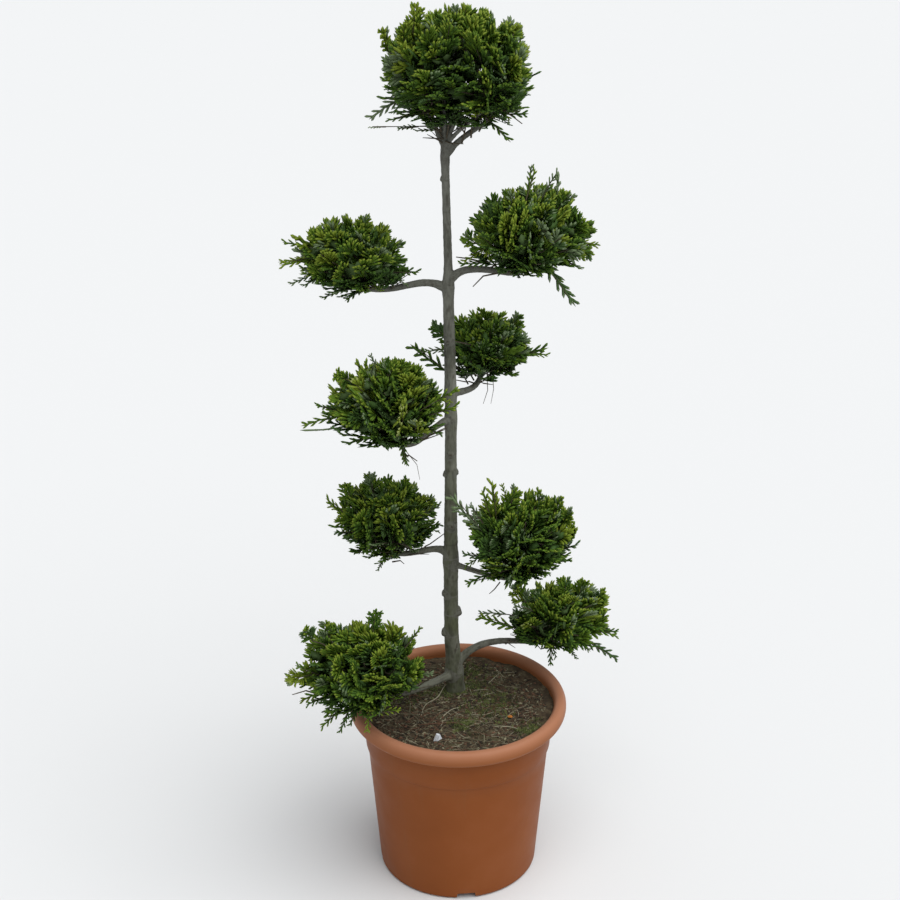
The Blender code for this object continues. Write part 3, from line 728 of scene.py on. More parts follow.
def templateCollection(name, shells):
    group = bpy.data.collections.new(name)
    for k, (points, faces, tipness) in enumerate(shells):
        obj = makeObject(f"{name}{k:02d}", points, faces)
        if tipness is not None:
            setAttribute(obj.data, "tipness", "FLOAT", "FACE", tipness)
        bpy.context.scene.collection.objects.unlink(obj)
        group.objects.link(obj)
    return group


litter = {
    "seed": 5,
    "straws": 2100,
    "chips": 1900,
    "strands": 70,
    "moss": 1300,
    "variants": 4,
    "patches": (  # moss: across, in depth and radius
        (0.026, 0.068, 0.020),
        (0.066, 0.022, 0.026),
        (0.050, -0.010, 0.026),
        (0.010, -0.058, 0.013),
        (0.127, -0.075, 0.018),
        (-0.024, 0.050, 0.016),
        (-0.095, 0.045, 0.022),
        (0.020, 0.120, 0.022),
    ),
}


def bentTube(line, radii, sides):
    rings, across = [], None
    for k, point in enumerate(line):
        heading = (line[min(k + 1, len(line) - 1)] - line[max(k - 1, 0)]).normalized()
        if across is None:
            across = heading.orthogonal().normalized()
        across = (across - heading * across.dot(heading)).normalized()
        side = heading.cross(across)
        angles = [2.0 * math.pi * s / sides for s in range(sides)]
        rings.append([point + radii[k] * (math.cos(a) * across + math.sin(a) * side) for a in angles])
    return closedRings(rings)


def litterTemplates():
    chance = random.Random(litter["seed"])
    shells = []
    for k in range(litter["variants"]):  # straws
        bend = chance.uniform(-0.12, 0.12)
        line = [Vector((t - 0.5, bend * math.sin(3.0 * t), 0.02 * math.sin(6.0 * t))) for t in evenShares(5)]
        shells.append((*bentTube(line, [0.012, 0.018, 0.019, 0.015, 0.007], 4), None))
    for k in range(litter["variants"]):  # chips of bark
        sides = chance.choice((5, 6))
        ring = [towards(360.0 * s / sides, 0.0) * chance.uniform(0.36, 0.54) for s in range(sides)]
        ring = [Vector((p.x, p.y * 0.55, chance.uniform(-0.03, 0.05))) for p in ring]
        shells.append((*closedRings([ring, [p * 0.92 + up * 0.12 for p in ring]]), None))
    for k in range(litter["variants"]):  # long strands
        phase = chance.uniform(0.0, 6.0)
        line = [Vector((t - 0.5, 0.10 * math.sin(4.0 * t + phase), 0.012 * math.sin(9.0 * t))) for t in evenShares(9)]
        shells.append((*bentTube(line, [0.006 + 0.005 * math.sin(math.pi * t) for t in evenShares(9)], 4), None))
    for k in range(litter["variants"]):  # tufts of moss
        points, faces = [], []
        for blade in range(5):
            lean = towards(chance.uniform(0, 360), chance.uniform(25, 85)) * chance.uniform(0.5, 1.0)
            side = lean.cross(randomVector(chance)).normalized() * 0.09
            root = Vector((lean.x * 0.2, lean.y * 0.2, -0.1))
            blade3 = [root - side, root + side, lean * 0.55 + side * 0.9, lean, lean * 0.55 - side * 0.9]
            first = len(points)
            points.extend(blade3 + [p + lean.cross(side).normalized() * 0.05 for p in blade3])
            faces.append(tuple(first + s for s in (4, 3, 2, 1, 0)))
            faces.append(tuple(first + 5 + s for s in range(5)))
            faces.extend((first + s, first + (s + 1) % 5, first + 5 + (s + 1) % 5, first + 5 + s) for s in range(5))
        shells.append((points, faces, None))
    return templateCollection("litterTemplate", shells)


def makeLitter():
    chance = random.Random(litter["seed"] + 1)
    colours = (
        (-1.0, "litterDark", (0.026, 0.019, 0.012)),
        (0.22, "litterBrown", (0.080, 0.052, 0.029)),
        (0.38, "litterRed", (0.112, 0.056, 0.032)),
        (0.56, "litterGrey", (0.126, 0.112, 0.068)),
        (0.74, "litterStraw", (0.210, 0.188, 0.116)),
        (0.90, "litterPale", (0.345, 0.315, 0.220)),
        (1.50, "mossDark", (0.072, 0.086, 0.030)),
        (1.78, "mossGreen", (0.145, 0.172, 0.052)),
    )
    shades = [(level, plainMaterial(name, colour, 0.85, 0.3)) for level, name, colour in colours]
    tree = instanceTree("scatterLitter", shades)
    reach = wallRadius(pot["innerTop"]) - 0.008
    foot = Vector((trunkStations[0][1], trunkStations[0][2], 0.0))
    seats, mossSeats = [], []

    def seatOn(kind, size, tone, lift, x, y, tilt=0.25):
        place = Vector((x, y, soilLevel(x, y) + lift))
        heading = towards(chance.uniform(0, 360), 0.0) + up * chance.uniform(-0.12, tilt)
        facing = up + randomVector(chance, 0.4)
        return (place, heading.normalized(), facing.normalized(), size, tone, 0.0, kind)

    def somewhere(margin=0.0):
        while True:
            angle, out = chance.uniform(0, 2 * math.pi), (reach - margin) * math.sqrt(chance.random())
            x, y = out * math.cos(angle), out * math.sin(angle)
            if math.hypot(x - foot.x, y - foot.y) > 0.021:
                return x, y

    for _ in range(litter["straws"]):
        size = chance.uniform(0.007, 0.028)
        seats.append(seatOn(0, size, chance.uniform(0.0, 1.0) ** 1.2, 0.0006, *somewhere(size * 0.5)))
    for _ in range(litter["chips"]):
        seats.append(seatOn(1, chance.uniform(0.003, 0.009), chance.uniform(0.0, 0.90) ** 1.2, 0.0004, *somewhere()))
    for _ in range(litter["strands"]):
        size = chance.uniform(0.045, 0.085)
        seats.append(seatOn(2, size, chance.uniform(0.3, 1.0), 0.0012, *somewhere(size * 0.5), tilt=0.06))
    for k in range(litter["moss"]):
        x0, y0, radius = litter["patches"][k % len(litter["patches"])]
        x, y = chance.gauss(x0, radius * 0.85), chance.gauss(y0, radius * 0.85)
        if math.hypot(x, y) < reach and math.hypot(x - foot.x, y - foot.y) > 0.017:
            seat = seatOn(3, chance.uniform(0.0035, 0.0075), chance.uniform(1.5, 2.1), -0.0002, x, y, 0.1)
            mossSeats.append((seat[0], seat[1], up, *seat[3:]))
    group = litterTemplates()
    values = {"Templates": group, "Variants": litter["variants"], "Seed": litter["seed"], "Size": 1.0, "Tip lightness": 0.0}
    for name, found in (("soilLitter", seats), ("soilMoss", mossSeats)):
        obj = runTree(seatsObject(name, found), tree, values)
        finishPiece(obj, "earth", "soil")


def makeShard():
    # a pale stone chip near the front and a scrap of orange leaf
    chance = random.Random(3)
    for name, place, size, colour in (
        ("stoneChip", (-0.0345, -0.1040, 0.3095), (0.0088, 0.0060, 0.0088), (0.60, 0.63, 0.66)),
        ("stoneSpeck", (0.0438, -0.1385, 0.3065), (0.0030, 0.0024, 0.0020), (0.60, 0.58, 0.54)),
        ("leafScrap", (0.0915, -0.0350, 0.3090), (0.0062, 0.0056, 0.0016), (0.46, 0.155, 0.016)),
    ):
        points, faces = turned([(0.0, -1.0), (1.0, -0.5), (0.46, 0.9), (0.0, 0.8)], 5)
        points = [Vector([p[k] * size[k] * chance.uniform(0.6, 1.15) + place[k] for k in range(3)]) for p in points]
        obj = makeObject(name, points, faces)
        material, tree, shader = newMaterial(name)
        mark = noiseOf(tree, objectPlace(tree), 380.0, 3.0)
        tree.links.new(mixOf(tree, spanOf(tree, mark, 0.4, 0.7, 0.0, 0.6), colour, [c * 0.55 for c in colour]), shader.inputs["Base Color"])
        shader.inputs["Roughness"].default_value = 0.7
        obj.data.materials.append(material)
        finishPiece(obj, "earth")


makeLitter()
makeShard()
print("litter made")


limbs = {
    "flare": 0.0036,
    "flareHeight": 0.016,
    "collar": 0.0014,
    "collarHeight": 0.012,
    "rootCrowding": 1.4,
    "boughCollar": 0.22,
    "collarFrom": 0.014,
    "collarSpread": 0.008,
    "sides": 18,
    "voxel": 0.00134,
    "vase": (  # limbs that spread under the crown: height on the trunk, end and radii
        (1.298, (-0.062, 0.006, 1.378), (0.0046, 0.0020)),
        (1.306, (-0.040, 0.048, 1.376), (0.0040, 0.0020)),
        (1.312, (-0.020, -0.018, 1.388), (0.0040, 0.0020)),
        (1.304, (0.022, 0.002, 1.382), (0.0042, 0.0020)),
        (1.296, (0.036, -0.014, 1.362), (0.0040, 0.0018)),
        (1.308, (0.008, 0.052, 1.384), (0.0040, 0.0018)),
    ),
    "vaseRise": (64.0, 46.0),
    "stubs": (  # height, bearing and radius
        (0.468, 8.0, 0.0105),
        (0.426, 186.0, 0.0090),
        (0.506, 196.0, 0.0070),
        (0.740, -6.0, 0.0062),
        (0.736, 178.0, 0.0062),
        (0.640, -80.0, 0.0060),
        (0.775, -90.0, 0.0064),
        (0.978, -104.0, 0.0050),
        (1.248, 184.0, 0.0048),
    ),
}
boughs = {  # height on the trunk, foot of its ball, rise at both ends, how far each end runs straight, radii
    "crown_fork": (1.283, (0.044, 0.010, 1.341), (62, 30), (0.030, 0.018), (0.0052, 0.0036)),
    "high_left": (1.066, (-0.140, 0.045, 1.062), (36, 4), (0.048, 0.052), (0.0066, 0.0044)),
    "high_right": (1.078, (0.080, -0.008, 1.106), (62, -4), (0.036, 0.050), (0.0068, 0.0046)),
    "mid_back": (0.886, (0.039, 0.115, 0.888), (-14, 56), (0.055, 0.026), (0.0060, 0.0046)),
    "mid_front": (0.838, (-0.078, -0.035, 0.824), (12, 8), (0.040, 0.034), (0.0058, 0.0042)),
    "low_left": (0.580, (-0.094, 0.055, 0.580), (58, -10), (0.030, 0.040), (0.0068, 0.0046)),
    "low_right": (0.567, (0.088, -0.019, 0.571), (0, 14), (0.036, 0.036), (0.0050, 0.0038)),
    "rim_right": (0.348, (0.124, 0.075, 0.395), (68, -10), (0.064, 0.052), (0.0076, 0.0046)),
    "rim_left": (0.342, (-0.110, -0.039, 0.357), (-2, 26), (0.044, 0.034), (0.0074, 0.0048)),
}


def trunkAt(height):
    last = len(trunkStations) - 1
    k = max(i for i in range(last) if trunkStations[i][0] <= height or i == 0)
    low, high = trunkStations[k], trunkStations[k + 1]
    t = min(max((height - low[0]) / (high[0] - low[0]), 0.0), 1.0)
    values = []
    for column in (1, 2, 3):
        slopes = []
        for i in (k, k + 1):
            a, b = trunkStations[max(i - 1, 0)], trunkStations[min(i + 1, last)]
            slopes.append((b[column] - a[column]) / (b[0] - a[0]) * (high[0] - low[0]))
        t2, t3 = t * t, t * t * t
        values.append(
            (2 * t3 - 3 * t2 + 1) * low[column]
            + (t3 - 2 * t2 + t) * slopes[0]
            + (3 * t2 - 2 * t3) * high[column]
            + (t3 - t2) * slopes[1]
        )
    return Vector((values[0], values[1], height)), values[2]


def boughLine(name, rings=9):
    height, foot, rises, pulls, radii = boughs[name]
    start, _ = trunkAt(height)
    end = Vector(foot)
    bearing = math.degrees(math.atan2(end.y - start.y, end.x - start.x))
    leave, arrive = towards(bearing, rises[0]), towards(bearing, rises[1])
    shares = [share ** limbs["rootCrowding"] for share in evenShares(rings)]
    line = bezier(start, start + leave * pulls[0], end - arrive * pulls[1], end, shares)
    girths = []
    for share, point in zip(shares, line):
        beyond = ((point - start).length - limbs["collarFrom"]) / limbs["collarSpread"]
        girths.append((radii[0] + (radii[1] - radii[0]) * share) * (1.0 + limbs["boughCollar"] * math.exp(-beyond * beyond)))
    return line, girths


def trunkLine():
    base, tip = trunkStations[0][0] - 0.006, trunkStations[-1][0]
    line, girths = [], []
    for share in evenShares(110):
        height = base + (tip - base) * share
        centre, radius = trunkAt(max(height, trunkStations[0][0]))
        centre.z = height
        for bough in boughs.values():
            radius += limbs["collar"] * math.exp(-(((height - bough[0]) / limbs["collarHeight"]) ** 2))
        line.append(centre)
        girths.append(radius + 0.65 * limbs["flare"] * math.exp(-max(height - trunkStations[0][0], 0.0) / limbs["flareHeight"]))
    return line, girths


def vaseLine(height, end, radii):
    start, end = trunkAt(height)[0], Vector(end)
    bearing = math.degrees(math.atan2(end.y - start.y, end.x - start.x))
    leave, arrive = [towards(bearing, rise) for rise in limbs["vaseRise"]]
    pull = (end - start).length * 0.36
    line = bezier(start, start + leave * pull, end - arrive * pull, end, evenShares(12))
    return line, [radii[0] + (radii[1] - radii[0]) * share for share in evenShares(12)]


def stubLine(height, bearing, radius):
    centre, girth = trunkAt(height)
    out = towards(bearing, 14.0)
    line = [centre, centre + out * girth * 0.8, centre + out * (girth + 0.34 * radius), centre + out * (girth + 0.58 * radius)]
    return line, [radius * 0.8, radius * 0.95, radius * 0.82, radius * 0.52]


balls = {
    "crown": dict(
        centre=(-0.003, 0.020, 1.427), size=(0.114, 0.106, 0.088, 0.084), squareness=3.0, seed=11, sprays=29,
        strays=((178, -33, 0.160), (-8, -44, 0.120), (205, -30, 0.128), (20, -32, 0.118)),
    ),
    "high_left": dict(
        centre=(-0.168, 0.045, 1.118), size=(0.090, 0.088, 0.064, 0.058), squareness=2.2, seed=23, sprays=24,
        strays=((186, -3, 0.120), (183, 12, 0.114), (192, -20, 0.112), (-12, -26, 0.102)),
    ),
    "high_right": dict(
        centre=(0.112, -0.010, 1.177), size=(0.104, 0.096, 0.068, 0.066), squareness=2.3, seed=37, sprays=25,
        strays=((90, 86, 0.102), (-10, 66, 0.104), (-8, -58, 0.134), (10, -14, 0.112), (190, -22, 0.118)),
    ),
    "mid_back": dict(
        centre=(0.048, 0.135, 0.932), size=(0.084, 0.082, 0.062, 0.052), squareness=2.2, seed=41, sprays=23,
        strays=((184, -2, 0.118), (-2, -8, 0.108), (12, -12, 0.102)),
    ),
    "mid_front": dict(
        centre=(-0.115, -0.045, 0.901), size=(0.102, 0.094, 0.064, 0.062), squareness=2.3, seed=53, sprays=26,
        strays=((186, -14, 0.142), (-2, 4, 0.106), (-40, -66, 0.104), (150, 68, 0.084)),
    ),
    "low_left": dict(
        centre=(-0.122, 0.060, 0.648), size=(0.094, 0.090, 0.068, 0.070), squareness=2.2, seed=61, sprays=25,
        strays=((178, 12, 0.104), (-4, -16, 0.096)),
    ),
    "low_right": dict(
        centre=(0.104, -0.030, 0.657), size=(0.098, 0.092, 0.074, 0.074), squareness=2.2, seed=73, sprays=26,
        strays=((184, 26, 0.128), (176, -32, 0.112), (140, 62, 0.094)),
    ),
    "rim_right": dict(
        centre=(0.182, 0.080, 0.448), size=(0.094, 0.090, 0.056, 0.048), squareness=2.2, seed=89, sprays=24,
        strays=((184, 2, 0.148), (4, -26, 0.118), (-30, -42, 0.084), (-100, -50, 0.080)),
    ),
    "rim_left": dict(
        centre=(-0.159, -0.075, 0.426), size=(0.110, 0.098, 0.074, 0.070), squareness=2.3, seed=97, sprays=26,
        strays=((183, -2, 0.134), (188, -24, 0.124), (196, -46, 0.104), (80, 62, 0.090)),
    ),
}
rule = {
    "unevenness": 0.07,
    "waves": 17.0,
    "footClear": 26.0,
    "tipSpread": (0.95, 1.05),
    "rootDepth": 0.44,
    "rootAside": 0.34,
    "rootLow": 0.9,
    "rootInside": 0.54,
    "skirtFrom": -0.46,
    "stemStraight": 0.003,
    "stemShares": (0.0, 0.45, 1.0),
    "skirtTwig": 0.50,
    "strayTwig": 0.56,
    "freeFace": Vector((0.0, -0.6, 1.0)),
}


bulges = {  # where a ball swells or draws in against the rule's shape: direction and share
    "rim_left": (
        (Vector((-0.72, 0.05, 0.69)), 0.20),
        (Vector((0.62, 0.10, 0.78)), 0.12),
        (Vector((0.70, -0.30, -0.65)), -0.42),
        (Vector((-0.45, -0.30, -0.84)), -0.12),
    ),
    "crown": ((Vector((0.66, 0.0, -0.75)), 0.05), (Vector((-0.80, 0.0, 0.60)), -0.06), (Vector((0.80, 0.0, 0.60)), -0.05)),
    "high_left": ((Vector((-0.76, 0.0, -0.65)), -0.10), (Vector((0.70, 0.0, 0.71)), -0.06)),
    "high_right": ((Vector((0.78, 0.0, -0.62)), -0.16), (Vector((-0.78, 0.0, 0.62)), -0.10)),
    "mid_back": ((Vector((0.75, 0.0, -0.66)), -0.24), (Vector((-0.60, 0.0, -0.80)), -0.10)),
    "mid_front": ((Vector((-0.72, 0.0, -0.69)), -0.24), (Vector((0.74, 0.0, -0.67)), -0.26)),
    "low_left": ((Vector((-0.72, 0.0, -0.69)), -0.26), (Vector((0.74, 0.0, -0.67)), -0.24)),
    "low_right": ((Vector((0.78, 0.0, -0.62)), -0.26), (Vector((-0.78, 0.0, -0.62)), -0.10)),
    "rim_right": ((Vector((-0.80, 0.0, 0.60)), -0.14),),
}


def ballRadius(ball, direction):
    width, depth, rise, drop = ball["size"]
    height = rise if direction.z > 0.0 else drop
    power = ball["squareness"]
    total = abs(direction.x / width) ** power + abs(direction.y / depth) ** power + abs(direction.z / height) ** power
    lumps = noise.noise(direction * rule["waves"] * width + Vector((ball["seed"], 0.0, 0.0)))
    swell = sum(share * max(direction.dot(way), 0.0) ** 6 for way, share in ball.get("bulges", ()))
    return total ** (-1.0 / power) * (1.0 + rule["unevenness"] * lumps + swell)


def feetOf(name):
    feet = []
    if name == "crown":
        tip, radius = trunkAt(trunkStations[-1][0])
        feet.append((tip, up.copy(), radius))
    for boughName in (name, name + "_fork"):
        if boughName in boughs:
            line, radii = boughLine(boughName)
            feet.append((line[-1], (line[-1] - line[-2]).normalized(), radii[-1]))
    return feet


def stemLine(ball, foot, heading, shares=None):
    start = foot + heading * (0.0003 + rule["stemStraight"])
    middle = Vector(ball["centre"])
    goal = Vector((foot.x, foot.y, middle.z)).lerp(middle, 0.6)
    pull = (goal - start).length * 0.4
    return [foot + heading * 0.0003] + bezier(start, start + heading * pull, goal - up * pull, goal, shares or rule["stemShares"])


def directions(count, chance):
    turn = math.pi * (3.0 - math.sqrt(5.0))
    spread = 0.5 / math.sqrt(count)
    for k in range(count):
        z = 1.0 - 2.0 * (k + 0.5) / count
        ring = math.sqrt(1.0 - z * z)
        moved = Vector((ring * math.cos(turn * k), ring * math.sin(turn * k), z))
        yield (moved + randomVector(chance, spread)).normalized()


def clippedRoot(ball, centre, direction, aside):
    if direction.z > rule["skirtFrom"] / 2:
        aside = aside - up * rule["rootLow"]
    out = ballRadius(ball, direction)
    offset = direction * out * rule["rootDepth"] + aside.normalized() * out * rule["rootAside"]
    share = offset.length / ballRadius(ball, offset.normalized())
    return centre + offset * min(1.0, rule["rootInside"] / share)


# Every shoot of a ball: its kind, where it starts, its root, its tip, its direction and the way it faces.
def shootsOf(name, ball):
    chance = random.Random(ball["seed"])
    centre = Vector(ball["centre"])
    stems = [stemLine(ball, foot, heading) for foot, heading, _ in feetOf(name)]
    down = (stems[0][0] - centre).normalized()
    shoots = []
    for direction in directions(ball["sprays"], chance):
        reach = chance.uniform(*rule["tipSpread"])
        aside = randomVector(chance)
        if direction.angle(down) < math.radians(rule["footClear"]):
            continue
        tip = centre + direction * ballRadius(ball, direction) * reach
        if direction.z > rule["skirtFrom"]:
            root = clippedRoot(ball, centre, direction, aside)
            shoots.append(("clipped", None, root, tip, direction, direction))
            continue
        source = min((line[2] for line in stems), key=lambda place: (place - tip).length)
        shoots.append(("skirt", source, source.lerp(tip, rule["skirtTwig"]), tip, direction, rule["freeFace"] + aside * 0.4))
    for bearing, rise, reach in ball["strays"]:
        aside = randomVector(chance)
        tip = centre + towards(bearing, rise) * reach
        source = min((line[3] for line in stems), key=lambda place: (place - tip).length)
        face = rule["freeFace"] + aside * 0.4
        shoots.append(("stray", source, source.lerp(tip, rule["strayTwig"]), tip, towards(bearing, rise), face))
    return shoots


def makeBarkPiece(material):
    lines = [trunkLine()] + [boughLine(name, 26) for name in boughs] + [stubLine(*stub) for stub in limbs["stubs"]]
    lines += [vaseLine(*row) for row in limbs["vase"]]
    for name, ball in balls.items():
        for foot, heading, radius in feetOf(name):
            line = [foot - heading * 0.004] + stemLine(ball, foot, heading, evenShares(9))
            lines.append((line, [radius * (1.0 - 0.62 * share) for share in evenShares(len(line))]))
    obj = linesObject("trunkAndBoughs", lines)
    runTree(obj, tubeTree("growLimbs"), {"Sides": limbs["sides"], "Girth": 1.0, "Finish": material})
    remesh = obj.modifiers.new("skin", "REMESH")
    remesh.mode = "VOXEL"
    remesh.voxel_size = limbs["voxel"]
    smooth = obj.modifiers.new("soften", "SMOOTH")
    smooth.factor = 0.5
    smooth.iterations = 3
    applyModifiers(obj)
    mesh = obj.data
    count = len(mesh.vertices)
    places = np.empty(count * 3)
    mesh.vertices.foreach_get("co", places)
    places = places.reshape(-1, 3)
    normals = np.array([vertex.normal for vertex in mesh.vertices])

    axis, heads, which = [], [], []  # the limbs' centre lines as points, to lay the bark's grain along
    for number, (line, _) in enumerate(lines):
        for k in range(len(line) - 1):
            for t in (0.0, 0.5):
                axis.append(line[k].lerp(line[k + 1], t))
                heads.append((line[k + 1] - line[k]).normalized())
                which.append(0.0 if number == 0 else 1.0)
    axis, heads, which = np.array(axis), np.array(heads), np.array(which)
    nearest = np.empty(count, int)
    for first in range(0, count, 4000):
        part = places[first : first + 4000]
        nearest[first : first + 4000] = ((part[:, None, :] - axis[None, :, :]) ** 2).sum(2).argmin(1)
    along = heads[nearest]
    limbShare = which[nearest]
    run = (places * along).sum(1)
    squeezed = places - along * (run * 0.72)[:, None]  # grain is stretched along the limb

    base = trunkStations[0]
    relief, crack = np.empty(count), np.empty(count)
    for k in range(count):
        point, grain = places[k], squeezed[k]
        lump = noise.noise(Vector(point) * 62.0)
        plate = noise.noise(Vector(grain) * 420.0)
        ridge = 1.0 - abs(noise.noise(Vector(grain) * 230.0 + Vector((7.0, 0.0, 0.0)))) * 2.2
        relief[k] = 0.00042 * lump + 0.00016 * plate + 0.00018 * ridge
        ring = math.sin(run[k] * 520.0 + 3.0 * noise.noise(Vector(point) * 30.0))
        relief[k] += 0.00007 * ring
        crack[k] = max(0.0, 0.55 - ridge) * 0.5
    scars = [(stub[0], stub[1], stub[2]) for stub in limbs["stubs"]]
    for height, bearing, radius in scars:  # a dark eye in the end of each stub
        centre, girth = trunkAt(height)
        eye = np.array(centre + towards(bearing, 14.0) * (girth + 0.58 * radius))
        near = np.exp(-((np.linalg.norm(places - eye, axis=1) / (radius * 0.55)) ** 2))
        crack += near * 0.8
        relief -= near * 0.0009
    for height, size in ((0.610, 0.0005), (0.700, 0.0003), (0.985, 0.0005), (0.930, 0.0003), (1.180, 0.0003), (0.540, 0.0003)):
        ringBand = np.exp(-(((places[:, 2] - height - 0.0012 * np.sin(places[:, 0] * 300.0)) / 0.0016) ** 2)) * (1.0 - limbShare)
        relief += size * ringBand
        crack += 0.22 * np.exp(-(((places[:, 2] - height + 0.0030) / 0.0012) ** 2)) * (1.0 - limbShare)
    across = places[:, :2] - np.array(base[1:3])
    angle = np.arctan2(across[:, 1], across[:, 0])
    foot = np.exp(-np.maximum(places[:, 2] - base[0], 0.0) / limbs["flareHeight"])
    relief += limbs["flare"] * 0.35 * foot * np.cos(3.0 * angle + 0.6) * (1.0 - limbShare)
    mesh.vertices.foreach_set("co", (places + normals * relief[:, None]).ravel())
    setAttribute(mesh, "limb", "FLOAT", "POINT", limbShare * 0.75)
    setAttribute(mesh, "crack", "FLOAT", "POINT", np.clip(crack, 0.0, 0.9))
    mesh.shade_smooth()
    mesh.update()
    finishPiece(obj, "bark", "trunk", *[name + "_bough" for name in boughs])


makeBarkPiece(makeBark())
print("trunk and boughs made")


